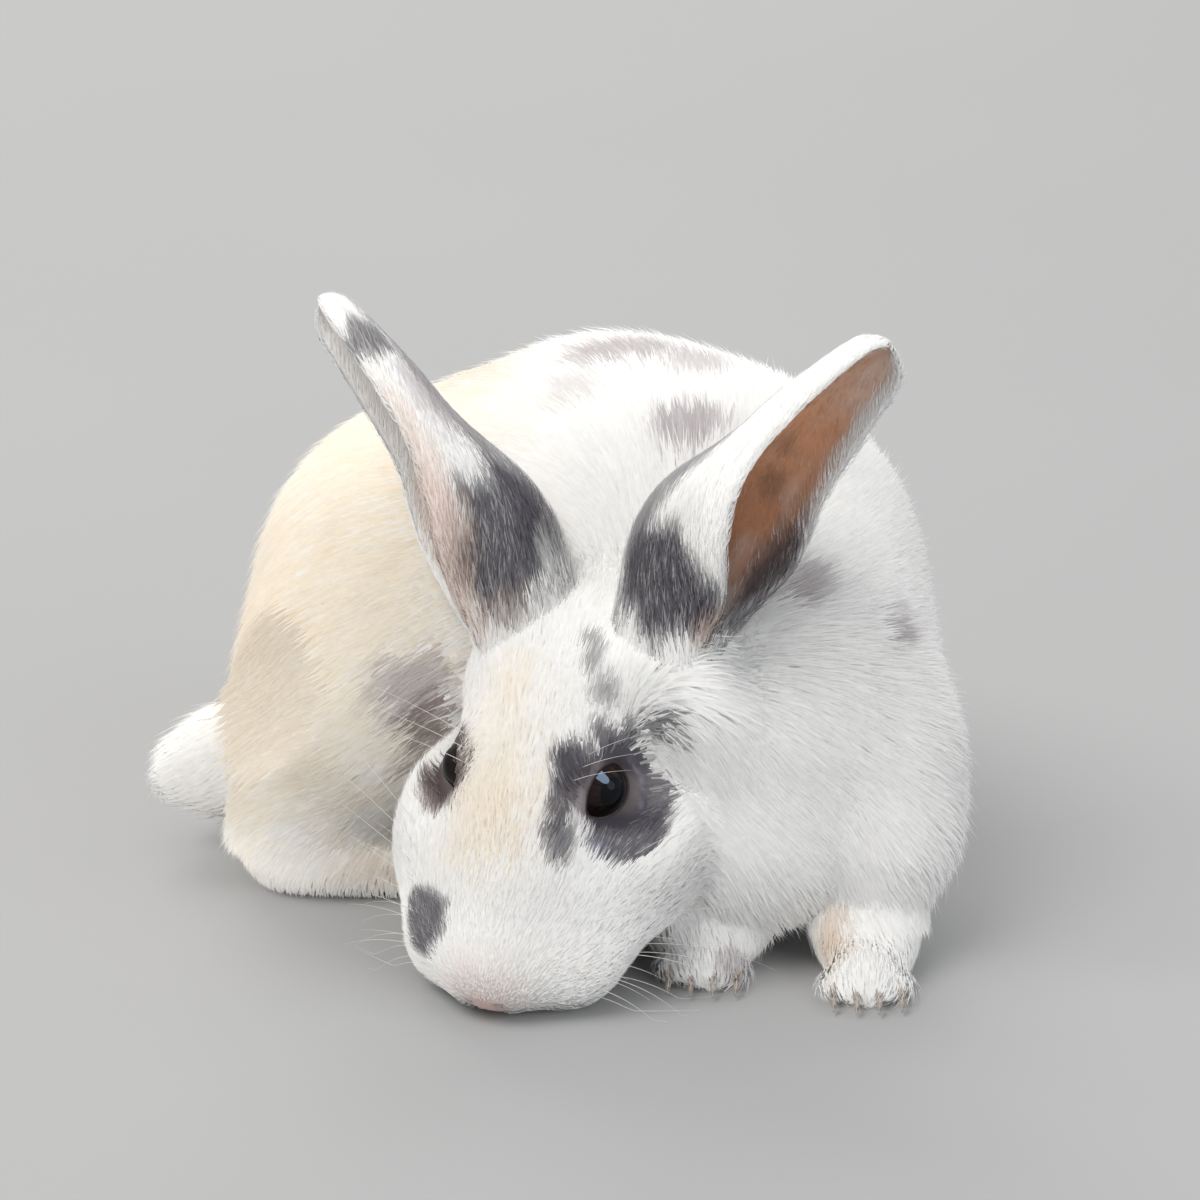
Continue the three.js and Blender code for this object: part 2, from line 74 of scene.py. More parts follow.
EARS = {
    "left": {
        "root": (-53, 34, 93),
        "tip": (6.5, 41, 176.5),
        "bend": (-19, 0, 0),
        "mouth": (0.75, -0.62, 0.1),
        "radii": (10.5, 19),
        "depth": 1.4,
    },
    "right": {
        "root": (-89.5, 51, 87),
        "tip": (-147, 87, 174),
        "bend": (14, -13, 2),
        "mouth": (-0.97, -0.2, -0.1),
        "radii": (11.5, 18),
        "depth": 1.25,
    },
}
EAR_LENGTH = 106.0
EAR_THICK = 2.0  # of the skin at an ear's root, between its two faces
EAR_EDGE = 8.0  # the higher, the blunter an ear's edges
EAR_TUCK = 0.7  # room left for the hair outside an ear's skin

# Length, depth and width of the tufts, and how many stand on a square millimetre.
BODY_COAT = (14.5, 5.2, 0.70, 1.28)
FOOT_COAT = (4.6, 1.9, 0.44, 1.5)
TAIL_COAT = (9.5, 5.6, 0.56, 1.7)
FACE_STOPS = (-55, -25, 5, 35, 54, 66)  # places forward of the skull's centre, for the four rows below
FACE_COAT = (
    (13, 8.5, 6.5, 5.0, 3.4, 1.8),
    (5.5, 3.9, 3.0, 2.4, 1.6, 0.7),
    (0.62, 0.5, 0.44, 0.40, 0.34, 0.26),
    (1.3, 1.7, 2.0, 2.2, 2.6, 3.2),
)

# ---- frames and small maths


def axes(yaw, tip):
    """Left, forward and up, as rows, of a frame turned by yaw and then tipped nose down, in degrees."""
    y, p = math.radians(yaw), math.radians(tip)
    left = (math.cos(y), -math.sin(y), 0)
    forward = (-math.cos(p) * math.sin(y), -math.cos(p) * math.cos(y), -math.sin(p))
    up = (-math.sin(p) * math.sin(y), -math.sin(p) * math.cos(y), math.cos(p))
    return np.array((left, forward, up))


LEVEL = axes(0, 0)
SKULL = axes(HEAD_YAW, HEAD_TIP)


def on_head(left, forward, up):
    return HEAD_CENTRE + (left, forward, up) @ SKULL


def to_head(points):
    return (points - HEAD_CENTRE) @ SKULL.T


def norm(v):
    return np.linalg.norm(v, axis=-1)


def unit(v):
    return v / np.maximum(norm(v)[..., None], 1e-9)


def ease(x, low, high):
    """0 below low and 1 above high, with a smooth rise between them."""
    t = np.clip((x - low) / (high - low), 0, 1)
    return t * t * (3 - 2 * t)


def ellipsoid(points, centre, halves):
    """How far out points are: 0 at the centre of an ellipsoid and 1 at its surface."""
    return norm((points - centre) / halves)


def lattice(ix, iy, iz, seed):
    h = ix * 374761393 + iy * 668265263 + iz * 2147483647 + seed * 1274126177
    h = (h ^ (h >> 13)) * 1274126177
    return ((h ^ (h >> 16)) & 0xFFFFFF) / float(0xFFFFFF) * 2 - 1


def noise(points, size, seed):
    """Smooth noise from -1 to 1 with features about size mm across."""
    q = np.asarray(points, float) / size
    i = np.floor(q).astype(np.int64)
    f = q - i
    f = f * f * (3 - 2 * f)
    total = 0
    for corner in np.ndindex(2, 2, 2):
        w = np.prod(np.abs(1 - np.array(corner) - f), axis=1)
        total = total + w * lattice(*(i + corner).T, seed)
    return total


def noise3(points, size, seed):
    return np.stack([noise(points, size, seed + k) for k in range(3)], axis=1)


# ---- masses of the body. A mass is its distance function, and the width of its blend into those before it.


def blob(centre, halves, blend, frame_axes=LEVEL):
    def distance(p):
        q = (p - centre) @ frame_axes.T / halves
        k0 = norm(q)
        k1 = norm(q / halves)
        return k0 * (k0 - 1) / np.maximum(k1, 1e-9)

    return distance, blend


def limb(start, end, r1, r2, blend):
    d = np.array(end, float) - start

    def distance(p):
        q = p - start
        t = np.clip(q @ d / (d @ d), 0, 1)
        return norm(q - t[:, None] * d) - (r1 + (r2 - r1) * t)

    return distance, blend


def soft_min(a, b, blend):
    h = np.maximum(blend - np.abs(a - b), 0) / blend
    return np.minimum(a, b) - h * h * blend / 4


def field(shapes):
    def distance(p):
        total = np.full(len(p), 400.0)
        for shape, blend in shapes:
            total = soft_min(total, shape(p), blend)
        return total

    return distance


SIDES = (1, -1)
HEAD = [
    blob(on_head(0, -20, -8), (29.5, 38, 29), 1, SKULL),
    blob(on_head(0, 10, -4), (23.5, 34, 21), 12, SKULL),
    blob(on_head(0, 38, -9), (19, 26, 17), 10, SKULL),
    blob(on_head(0, 54, -14), (17, 13.5, 13), 8, SKULL),
    blob(on_head(0, 38, -32), (13, 16, 9), 8, SKULL),
    *[blob(on_head(16 * s, 41, -20), (17, 20, 16), 8, SKULL) for s in SIDES],
    *[blob(on_head(12 * s, 28, -12), (15, 24, 15), 10, SKULL) for s in SIDES],
    *[blob(on_head(24 * s, 14, -19), (20, 28, 19), 10, SKULL) for s in SIDES],
    *[blob(on_head(16 * s, -10, -28), (19, 26, 22), 10, SKULL) for s in SIDES],
]
NECK = [
    limb(on_head(6, -34, -20), (-32, 70, 66), 25, 34, 12),
    blob((-46, 38, 42), (34, 24, 30), 20),
    blob((-46, 30, 70), (14, 12.5, 15), 14),
]
TRUNK = [
    blob((-22, 64, 58), (46, 42, 47), 22),
    blob((-38, 96, 80), (59, 48, 67), 24),
    blob((-66, 124, 80), (66, 62, 69), 26),
    blob((-117, 130, 64), (53.5, 62, 63), 26),
    blob((-32, 44, 34), (38, 28, 22), 20),
    blob((5, 50, 44), (24, 26, 34), 16),
    blob((-62, 52, 42), (22, 26, 30), 16),
]
HAUNCHES = [
    blob((-134, 98, 48), (40, 36, 44), 20),
    blob((-149, 90, 22), (26, 24, 22), 14),
    blob((-98, 176, 50), (48, 36, 48), 20),
    blob((-122, 186, 24), (26, 22, 21), 14),
]
TAIL = [
    limb((-158, 122, 33), (-176, 115, 26), 15, 15, 10),
    limb((-176, 115, 26), (-185, 112, 25), 15, 13, 8),
]
# The joint is a foreleg's wrist or a hind foot's heel, and only forelegs show an elbow.
LEGS = [
    {"elbow": (6, 36, 36), "joint": (3, 26, 12), "ball": (2, 9, 7), "yaw": 0},
    {"elbow": (-46, 46, 36), "joint": (-41, 35, 12), "ball": (-42, 20, 7), "yaw": 4},
    {"joint": (-124, 192, 12), "ball": (-66, 194, 8), "yaw": -90},
    {"joint": (-157, 86, 12), "ball": (-98, 79, 8), "yaw": -83},
]
TOE_PLACES = (-1.5, -0.5, 0.5, 1.5)
TOE_SPREAD = 6.2
TOE_HEIGHT = 5
FORE_REACH = 6  # from the ball of the foot to the ends of the toes
HIND_REACH = 22
OUTER_TOE = 1.6  # how much shorter a toe is for each step out from the middle


def toes_of(leg):
    left, forward, _ = axes(leg["yaw"], 0)
    reach = FORE_REACH if "elbow" in leg else HIND_REACH
    ends = []
    for place in TOE_PLACES:
        end = leg["ball"] + forward * (reach - abs(place) * OUTER_TOE) + left * place * TOE_SPREAD
        end[2] = TOE_HEIGHT
        ends.append(end)
    return ends


def leg_shapes(leg):
    if "elbow" in leg:
        x, y, _ = leg["joint"]
        base = [
            limb(leg["elbow"], leg["joint"], 17, 12.5, 14),
            limb((x, y, 9), leg["ball"], 12, 11, 10),
        ]
        toe = 5.0
    else:
        base = [limb(leg["joint"], leg["ball"], 14.5, 12, 8)]
        toe = 5.4
    return base + [limb(leg["ball"], end, 8, toe, 3) for end in toes_of(leg)]


LEG_SHAPES = [shape for leg in LEGS for shape in leg_shapes(leg)]
FEET = [limb(leg["joint"], toes_of(leg)[1], 12, 10, 8) for leg in LEGS]

front_flesh = field(HEAD + NECK)
rear_flesh = field(NECK + TRUNK + HAUNCHES + TAIL + LEG_SHAPES)
head_only = field(HEAD)
tail_only = field(TAIL)
feet_only = field(FEET)

# ---- eyes in place


def eye_frame(side):
    """Centre of an eyeball, where it looks, and the axes of the gap between its lids."""
    look = unit((side * EYE_LOOK[0], *EYE_LOOK[1:]) @ SKULL)
    centre = on_head(side * EYE_PLACE[0], *EYE_PLACE[1:])
    along = unit(SKULL[1] - look * (SKULL[1] @ look))
    across = np.cross(look, along)
    return centre, look, along, across


def gap_angle(turn):
    """Half angle of the gap between the lids, radians, at a turn round the line of sight from the front
    corner. Both corners are drawn out a little."""
    c = np.cos(turn) / OPEN_LONG
    s = np.sin(turn) / OPEN_SHORT
    round_gap = 1 / np.sqrt(c * c + s * s)
    front = 7 * np.exp(-((np.angle(np.exp(1j * turn)) / 0.42) ** 2))
    back = 3 * np.exp(-((np.angle(-np.exp(1j * turn)) / 0.4) ** 2))
    return np.radians(round_gap + front + back)


def eye_polar(points, side):
    """Distance from an eyeball's centre, angle off its line of sight, and turn round it."""
    centre, look, along, across = eye_frame(side)
    q = points - centre
    r = norm(q)
    d = q / np.maximum(r, 1e-6)[:, None]
    angle = np.arccos(np.clip(d @ look, -1, 1))
    turn = np.arctan2(d @ across, d @ along)
    return r, angle, turn


# ---- the coat's sizes


def head_share(p, low, high):
    """0 on the body and 1 on the head, changing where the head is low to high mm nearer than the body."""
    return ease(rear_flesh(p) - head_only(p), low, high)


def coat_sizes(p):
    """Length, depth and width of the tufts, and how many there are on a square millimetre, at points."""
    h = to_head(p)
    face = [np.interp(h[:, 1], FACE_STOPS, values) for values in FACE_COAT]
    cheek = ease(np.abs(h[:, 0]), 14, 30) * ease(-h[:, 2], 0, 22) * ease(-h[:, 1], -34, -5)
    near_eye = 0
    for side in SIDES:
        r, _, turn = eye_polar(p, side)
        brow = 0.5 + 0.5 * np.cos(turn + side * np.pi / 2)
        near_eye = np.maximum(near_eye, ease(-r, -19, -10.5) * (1 - 0.5 * brow))
    face[0] = face[0] * (1 + 0.5 * cheek) * (1 - 0.60 * near_eye)
    face[1] = face[1] * (1 + 0.25 * cheek) * (1 - 0.62 * near_eye)
    face[2] = face[2] * (1 - 0.30 * near_eye)
    face[3] = face[3] * (1 + 0.35 * near_eye)
    on_face = head_share(p, -6, 8)
    on_foot = ease(-feet_only(p), -9, 0) * ease(-p[:, 2], -30, -14)
    on_tail = ease(-tail_only(p), -8, 2)
    sizes = []
    for body, foot, tail, on_head_size in zip(BODY_COAT, FOOT_COAT, TAIL_COAT, face):
        size = body + (tail - body) * on_tail
        size = size + (foot - size) * on_foot
        sizes.append(size + (on_head_size - size) * on_face)
    return sizes


# ---- the skin's shape


def ear_line(ear, t):
    """Centre and direction of an ear's midline at shares t of its length. Below 0 it goes straight on."""
    a, b = np.array(ear["root"], float), np.array(ear["tip"], float)
    m = (a + b) / 2 + ear["bend"]
    s = np.maximum(t, 0)[:, None]
    centre = (1 - s) ** 2 * a + 2 * s * (1 - s) * m + s * s * b
    along = unit(2 * (1 - s) * (m - a) + 2 * s * (b - m))
    return centre + along * np.minimum(t, 0)[:, None] * EAR_LENGTH, along


def ear_surface(ear, t, place, layer):
    """Points of an ear's rolled sheet, and the directions along it and out of it. t goes from root to tip,
    place from edge to edge (-1 to 1), and layer is 1 on the outer face and -1 on the inner one."""
    centre, along = ear_line(ear, t)
    mouth = np.array(ear["mouth"])
    front = unit(mouth - along * (along @ mouth)[:, None])
    side = np.cross(along, front)
    s = np.clip(t, 0, 1)
    root, widest = ear["radii"]
    rise = ease(s, 0, 0.48)
    fall = np.maximum(s - 0.48, 0) / 0.52
    taper = np.cos(np.pi / 2 * 0.80 * fall) ** 0.70
    end = np.maximum((s - 0.945) / 0.055, 0)
    radius = (root + (widest - root) * rise) * taper * np.sqrt(np.maximum(1 - 0.97 * end * end, 0))
    radius = np.maximum(radius - EAR_TUCK * (1 - ease(s, 0.8, 1)), 0.6)
    roll = np.radians(171 - 91 * ease(s, 0.10, 0.68))
    body = np.sqrt(np.maximum(1 - np.abs(place) ** EAR_EDGE, 0))
    r = radius + layer * EAR_THICK * (1 - 0.4 * s) * body / 2
    angle = roll * place * 0.965
    middle = (radius + EAR_TUCK) * ear["depth"] * (1 + np.cos(roll)) / 2
    lift = middle - r * ear["depth"] * np.cos(angle)
    point = centre + side * (r * np.sin(angle))[:, None] + front * lift[:, None]
    outward = unit(side * np.sin(angle)[:, None] - front * np.cos(angle)[:, None])
    return point, along, outward


def ear_mound(ear):
    """The swelling of the skull that an ear grows from."""
    centre, _ = ear_line(ear, np.array((-0.10, 0.045)))
    return limb(*centre, 14.5, ear["radii"][0] * 0.62, 12)[0]


MOUNDS = [ear_mound(ear) for ear in EARS.values()]


def carve(d, hole, blend=0.6):
    return -soft_min(-d, hole, blend)


def skin_distance(p):
    """Distance to the skin: the flesh's surface, less the coat's depth, with lids, nose and mouth cut in."""
    d = soft_min(front_flesh(p), rear_flesh(p), CREASE)
    d = d + coat_sizes(p)[1]
    for mound in MOUNDS:
        d = soft_min(d, mound(p), 12)
    h = to_head(p)
    for side in SIDES:
        r, angle, turn = eye_polar(p, side)
        d = soft_min(d, r - LID_RADIUS, 5)
        gap = np.maximum((angle - gap_angle(turn)) * r, LID_BED - r)
        d = carve(d, gap)
        nostril = (h - (side * 4.4, 66.5, -14.0)) @ axes(side * 30, 0).T
        d = carve(d, ellipsoid(nostril, (0, 0, 0), (1.3, 2.4, 3.0)) * 1.3 - 1.3)
    cleft = ellipsoid(h, (0, 65.5, -23), (0.8, 4, 7))
    d = carve(d, (cleft - 1) * 0.8)
    mouth = ellipsoid(h, (0, 52, -31.0), (15, 14, 0.9))
    d = carve(d, (mouth - 1) * 0.9)
    return np.maximum(d, FLOOR_GAP - p[:, 2])


AT_ONCE = 400000  # points of a grid worked out together, to spare memory


def block_grid(distance, low, high, pitch, block=5, near=9.0):
    """Distances on a grid, worked out finely only in the blocks that the surface may pass."""
    counts = np.ceil((high - low) / pitch / block).astype(int)
    ticks = [low[k] + pitch * (block * np.arange(counts[k]) + block // 2) for k in range(3)]
    coarse_points = np.stack(np.meshgrid(*ticks, indexing="ij"), -1).reshape(-1, 3)
    coarse = distance(coarse_points).reshape(counts)
    for axis in range(3):
        coarse = np.repeat(coarse, block, axis=axis)
    value = np.clip(coarse, -near, near)
    mask = np.abs(coarse) < near
    where = np.argwhere(mask)
    parts = [where[k : k + AT_ONCE] for k in range(0, len(where), AT_ONCE)]
    value[mask] = np.concatenate([distance(low + pitch * part) for part in parts])
    return value.astype(np.float32)


def polygonise(value, low, pitch):
    grid = openvdb.FloatGrid(background=9.0)
    grid.copyFromArray(value)
    points, quads = grid.convertToQuads(isovalue=0.0)
    return np.asarray(points, float) * pitch + low, np.asarray(quads, int)


def largest_part(points, quads):
    """The faces of the biggest connected shell, and the vertices that they use."""
    label = np.arange(len(points))
    while True:
        low = label[quads].min(axis=1)
        new = label.copy()
        for k in range(4):
            np.minimum.at(new, quads[:, k], low)
        new = new[new]
        if np.array_equal(new, label):
            break
        label = new
    keep = label == np.bincount(label).argmax()
    index = np.cumsum(keep) - 1
    quads = quads[keep[quads[:, 0]]]
    return points[keep], index[quads]


def vertex_normals(points, quads):
    a, b, c, d = (points[quads[:, k]] for k in range(4))
    face = np.cross(c - a, d - b)
    total = np.zeros_like(points)
    for k in range(4):
        np.add.at(total, quads[:, k], face)
    return unit(total)


LOW = np.array((-202.0, -22.0, -4.0))  # corners of the grid that holds the skin
HIGH = np.array((38.0, 212.0, 158.0))


def body_skin():
    value = block_grid(skin_distance, LOW, HIGH, SKIN_PITCH)
    points, quads = largest_part(*polygonise(value, LOW, SKIN_PITCH))
    return points, quads, vertex_normals(points, quads)


def ring_quads(rows, columns):
    """Quads between rings of vertices, row after row, each ring closed on itself."""
    ring = np.arange(rows - 1)[:, None] * columns
    c = np.arange(columns)[None, :]
    d = (c + 1) % columns
    return np.stack((ring + c, ring + d, ring + columns + d, ring + columns + c), -1).reshape(-1, 4)


EAR_ROWS = 84
EAR_COLUMNS = 34


def ear_skin(ear):
    """The skin of an ear: rings round the sheet from below its root to its tip, closed at both ends."""
    steps = np.arange(EAR_ROWS + 1) / EAR_ROWS
    shares = np.concatenate((np.linspace(-0.11, -0.012, 9), np.sin(np.pi / 2 * steps) ** 1.15))
    places = np.linspace(-1, 1, EAR_COLUMNS + 1)
    place = np.concatenate((places, places[-2:0:-1]))
    layer = np.concatenate((np.ones(EAR_COLUMNS + 1), -np.ones(EAR_COLUMNS - 1)))
    n = len(place)
    t = np.repeat(shares, n)
    place, layer = np.tile(place, len(shares)), np.tile(layer, len(shares))
    points, along, outward = ear_surface(ear, t, place, layer)
    top = (len(shares) - 1) * n
    caps = []
    for b in range(1, EAR_COLUMNS):
        a, p = b - 1, n - b
        q = p + 1 if b > 1 else p
        caps.append((a, q, p, b))
        caps.append((top + b, top + p, top + q, top + a))
    quads = np.concatenate((ring_quads(len(shares), n), np.array(caps)))
    return points, quads[:, ::-1], -vertex_normals(points, quads), t, place, layer, along, outward


# ---- lie of the coat

# Points of the body and how the hair lies there: place (3), direction (3), reach.
LIE = [
    (-45, 70, 112, 0.1, 1, 0.25, 26),
    (-30, 85, 138, 0.1, 1, 0.1, 26),
    (-66, 110, 148, -0.3, 1, 0, 30),
    (-85, 140, 146, -0.6, 0.8, -0.1, 30),
    (-120, 135, 126, -0.9, 0.25, -0.35, 30),
    (-150, 130, 95, -0.75, 0, -0.7, 28),
    (-165, 125, 60, -0.5, -0.1, -0.85, 24),
    (-110, 100, 120, -0.8, 0.3, -0.4, 26),
    (-130, 75, 95, -0.8, 0, -0.55, 26),
    (-118, 62, 60, -0.85, -0.1, -0.45, 24),
    (-148, 64, 62, -0.85, 0.15, -0.5, 26),
    (-160, 72, 34, -0.75, 0.3, -0.55, 24),
    (-130, 64, 34, -0.8, 0.1, -0.5, 22),
    (-90, 52, 40, -0.8, 0.1, -0.5, 20),
    (-42, 18, 50, 0.35, 0, -0.9, 20),
    (-25, 22, 48, 0.4, -0.1, -0.9, 18),
    (-20, 24, 80, 0.8, 0.15, -0.5, 20),
    (-5, 28, 66, 0.85, 0.3, -0.5, 20),
    (0, 22, 45, 0.4, 0, -0.9, 18),
    (16, 36, 48, 0.25, 0.45, -0.85, 18),
    (-12, 40, 104, 0.65, 0.6, -0.35, 22),
    (14, 60, 88, 0.35, 0.85, -0.4, 24),
    (22, 90, 90, 0, 0.95, -0.35, 28),
    (20, 100, 50, 0, 0.85, -0.5, 26),
    (0, 140, 110, -0.4, 0.85, -0.35, 30),
    (-5, 150, 60, -0.4, 0.75, -0.5, 28),
    (-50, 185, 90, -0.8, 0.35, -0.5, 30),
    (-90, 205, 60, -0.8, 0.1, -0.6, 28),
    (-135, 190, 70, -0.75, -0.2, -0.65, 28),
    (-150, 165, 45, -0.6, -0.35, -0.7, 24),
    (-140, 195, 20, -0.2, 0, -0.95, 18),
    (-80, 210, 20, -0.3, 0.1, -0.9, 20),
    (-30, 160, 16, -0.3, 0.5, -0.8, 24),
    (5, 30, 28, 0.1, -0.1, -1, 12),
    (2, 12, 10, 0, -1, -0.25, 10),
    (-44, 36, 26, 0, -0.1, -1, 12),
    (-42, 20, 10, 0, -1, -0.25, 10),
    (-158, 80, 12, 0.5, -0.3, -0.7, 12),
    (-130, 82, 12, 0.95, -0.15, -0.2, 14),
    (-100, 79, 10, 1, -0.12, -0.1, 12),
    (-110, 194, 12, 0.95, 0, -0.2, 14),
    (-66, 194, 10, 1, 0, -0.1, 12),
    (-160, 121, 34, -0.9, -0.3, -0.1, 14),
    (-182, 112, 28, -0.9, -0.35, -0.05, 16),
]
NOSE_TIP = on_head(0, 78, -16)


def along_surface(directions, normals):
    return unit(directions - normals * np.sum(directions * normals, axis=1, keepdims=True))


def lie_of(p, n):
    """Unit direction of the hair along the surface at points p with normals n."""
    total = np.zeros_like(p)
    for row in np.array(LIE, float):
        q = p - row[:3]
        w = np.exp(-np.sum(q * q, axis=1) / (2 * row[6] * row[6])) + 1e-7
        total += w[:, None] * unit(row[3:6])
    body = unit(total)
    head = unit(p - NOSE_TIP)
    for side in SIDES:
        centre, look, _, _ = eye_frame(side)
        q = p - centre
        w = 1.3 * ease(-norm(q), -20, -9)
        away = unit(q - look * (q @ look)[:, None])
        head = head + away * w[:, None]
    share = head_share(p, -10, 8)[:, None]
    flow = unit(body) * (1 - share) + unit(head) * share
    flow = flow + 0.16 * noise3(p, 18, 40) + 0.06 * noise3(p, 6, 50)
    return along_surface(flow, n)


# ---- markings, with some painted shade and a painted highlight among them

WHITE = (0.925, 0.915, 0.895)
CREAM = (0.93, 0.78, 0.55)
FAWN = (0.86, 0.67, 0.46)
TAN = (0.60, 0.42, 0.27)
SLATE = (0.066, 0.059, 0.076)
SMOKE = (0.42, 0.37, 0.385)
LILAC = (0.27, 0.255, 0.33)
PINK = (0.80, 0.52, 0.47)
ROSE = (0.78, 0.60, 0.55)
RUST = (0.70, 0.32, 0.15)
UMBER = (0.22, 0.13, 0.09)
DUSK = (0.085, 0.06, 0.065)
MOLE = (0.16, 0.105, 0.09)
BEIGE = (0.70, 0.53, 0.44)

# On the skull: colour, strength, centre and half sizes (left, forward, up), softness of the edge.
FACE_MARKS = [
    (CREAM, 0.32, (-6, 12, 18), (17, 26, 20), 0.7),
    (FAWN, 0.36, (-2, 22, 16), (10, 12, 14), 0.8),
    (CREAM, 0.3, (-8, -14, 20), (8, 8, 12), 0.7),
    (SLATE, 0.88, (14.5, 15, 13), (3.6, 9.5, 7), 0.4),
    (SLATE, 0.8, (15.5, 23, 9), (4.2, 5.5, 7), 0.45),
    (SLATE, 0.86, (15.5, 4, 16), (5.2, 6, 7), 0.4),
    (SLATE, 0.86, (24, -7, 8), (7.5, 5, 7), 0.4),
    (SLATE, 0.78, (27, -16, 7), (3.6, 6.5, 6), 0.45),
    (SLATE, 0.62, (10, -31, 19), (3.4, 3, 6), 0.5),
    (SLATE, 0.6, (13, -25, 17), (2.8, 4.5, 6), 0.55),
    (SLATE, 0.55, (19, -18, 14), (4.5, 4, 6), 0.55),
    (SLATE, 0.82, (30, -6, 3), (3.5, 4.5, 6), 0.45),
    (SLATE, 0.88, (35, -15, 6.5), (4.4, 3.8, 7), 0.4),
    (SLATE, 0.88, (-21, 48, -5), (9.5, 9.5, 11), 0.22),
    (ROSE, 0.4, (2, 64, -8), (11, 8, 9), 0.8),
]
# Round an eye: colour, strength, turn in degrees from its front corner, distance from the line of
# sight, half sizes of both, softness.
EYE_MARKS = {
    1: [
        (DUSK, 0.88, 0, 8, 400, 3.2, 0.35),
        (SMOKE, 0.55, -35, 10.5, 44, 2.4, 0.5),
        (SLATE, 0.9, 48, 12.5, 58, 6.4, 0.25),
        (SLATE, 0.85, 112, 12.4, 48, 3, 0.3),
        (SLATE, 0.85, -165, 10.5, 46, 4.4, 0.3),
        (SLATE, 0.8, -92, 12.5, 34, 4.6, 0.35),
        # Painted highlight: a thin lilac line on the skin along the upper back rim of the lids.
        (LILAC, 0.7, 128, 10.2, 40, 0.5, 0.45),
        (LILAC, 0.8, 6, 15.6, 12, 1.6, 0.5),
    ],
    -1: [
        (MOLE, 0.85, 10, 11, 120, 3.2, 0.4),
        (DUSK, 0.92, 0, 8, 400, 3.6, 0.35),
    ],
}
EYE_MARKS_REACH = 24  # from the eyeball's centre
# On the body, in the build frame.
BODY_MARKS = [
    (CREAM, 0.5, (-165, 95, 66), (48, 75, 72), 0.6),
    (CREAM, 0.4, (-125, 130, 125), (38, 60, 34), 0.6),
    (CREAM, 0.35, (-130, 70, 95), (26, 30, 26), 0.6),
    (FAWN, 0.3, (-172, 92, 75), (22, 42, 40), 0.8),
    (SMOKE, 0.82, (-62, 116, 150), (19, 11, 12), 0.45),
    (SMOKE, 0.6, (-44, 102, 150), (12, 9, 10), 0.5),
    (SMOKE, 0.4, (-78, 98, 145), (8, 7, 8), 0.6),
    (SMOKE, 0.82, (-47, 75, 140), (10, 6, 8), 0.45),
    (SMOKE, 0.75, (-15, 46, 106), (9, 6, 5), 0.6),
    (SMOKE, 0.75, (10, 53, 92), (4, 6, 7), 0.6),
    # Painted shade: these two darken the right flank along the edge of the head, in the crease between the
    # head and the haunch.
    (SMOKE, 0.75, (-123, 60, 70), (12, 10, 13), 0.5),
    (MOLE, 0.82, (-118, 58, 54), (9, 10, 12), 0.55),
    (TAN, 0.3, (-104, 133, 138), (16, 12, 10), 0.7),
    (TAN, 0.6, (-9, 13, 13), (9, 8, 8), 0.6),
    # Painted shade: grey on the right forepaw by the floor, under the head and chest.
    (SMOKE, 0.7, (-33, 12, 8), (7, 6, 6), 0.5),
    (SMOKE, 0.7, (-30, 190, 95), (34, 30, 22), 0.4),
    (SMOKE, 0.65, (-105, 195, 110), (22, 22, 26), 0.4),
    (SMOKE, 0.6, (18, 130, 60), (16, 24, 18), 0.4),
    (CREAM, 0.5, (-80, 210, 60), (60, 30, 60), 0.7),
    (WHITE, 0.95, (-180, 113, 26), (25, 24, 24), 0.35),
    (WHITE, 0.8, (-150, 76, 6), (30, 22, 16), 0.5),
    (TAN, 0.45, (-134, 64, 12), (11, 8, 8), 0.6),
]


def mixed(colour, target, amount):
    return colour + (target - colour) * amount[:, None]


def mark_amount(reach, soft, strength, jitter):
    """How much of a mark's colour shows where reach, 1 at its edge, says how far out a hair is."""
    w = np.clip((1 + soft - reach) / (2 * soft), 0, 1)
    w = np.clip(w + jitter * 0.55 * (1 - np.abs(2 * w - 1)), 0, 1)
    return ease(w, 0, 1) * strength * (1 - 0.30 * ease(jitter, 0.3, 0.95))


def body_colour(p, jitter):
    """Colour of skin or hair at points. jitter is one number from -1 to 1 for each hair."""
    colour = np.tile(WHITE, (len(p), 1))
    near_head = head_share(p, -7, 3)
    warp = 0.32 * noise3(p, 9, 70) + 0.22 * noise3(p, 3.5, 80)
    h = to_head(p)
    for marks, place, share in ((BODY_MARKS, p, 1 - near_head), (FACE_MARKS, h, 1.0)):
        for target, strength, centre, halves, soft in marks:
            reach = norm((place - centre) / halves + warp)
            colour = mixed(colour, target, mark_amount(reach, soft, strength, jitter) * share)
    for side, marks in EYE_MARKS.items():
        r, angle, turn = eye_polar(p, side)
        off_axis = r * np.sin(np.minimum(angle, np.pi / 2))
        near = r < EYE_MARKS_REACH
        for target, strength, at_turn, distance, half_turn, half_distance, soft in marks:
            apart = np.angle(np.exp(1j * (turn - np.radians(at_turn)))) / np.radians(half_turn)
            beyond = (off_axis - distance) / half_distance
            reach = np.hypot(apart + 0.6 * warp[:, 0], beyond + 0.6 * warp[:, 1])
            colour = mixed(colour, target, mark_amount(reach, soft, strength, jitter) * near)
    nose = 1 - ease(ellipsoid(h, (0, 66, -14), (5.5, 6, 7)), 0.6, 1.1)
    return mixed(colour, PINK, 0.6 * nose * near_head)


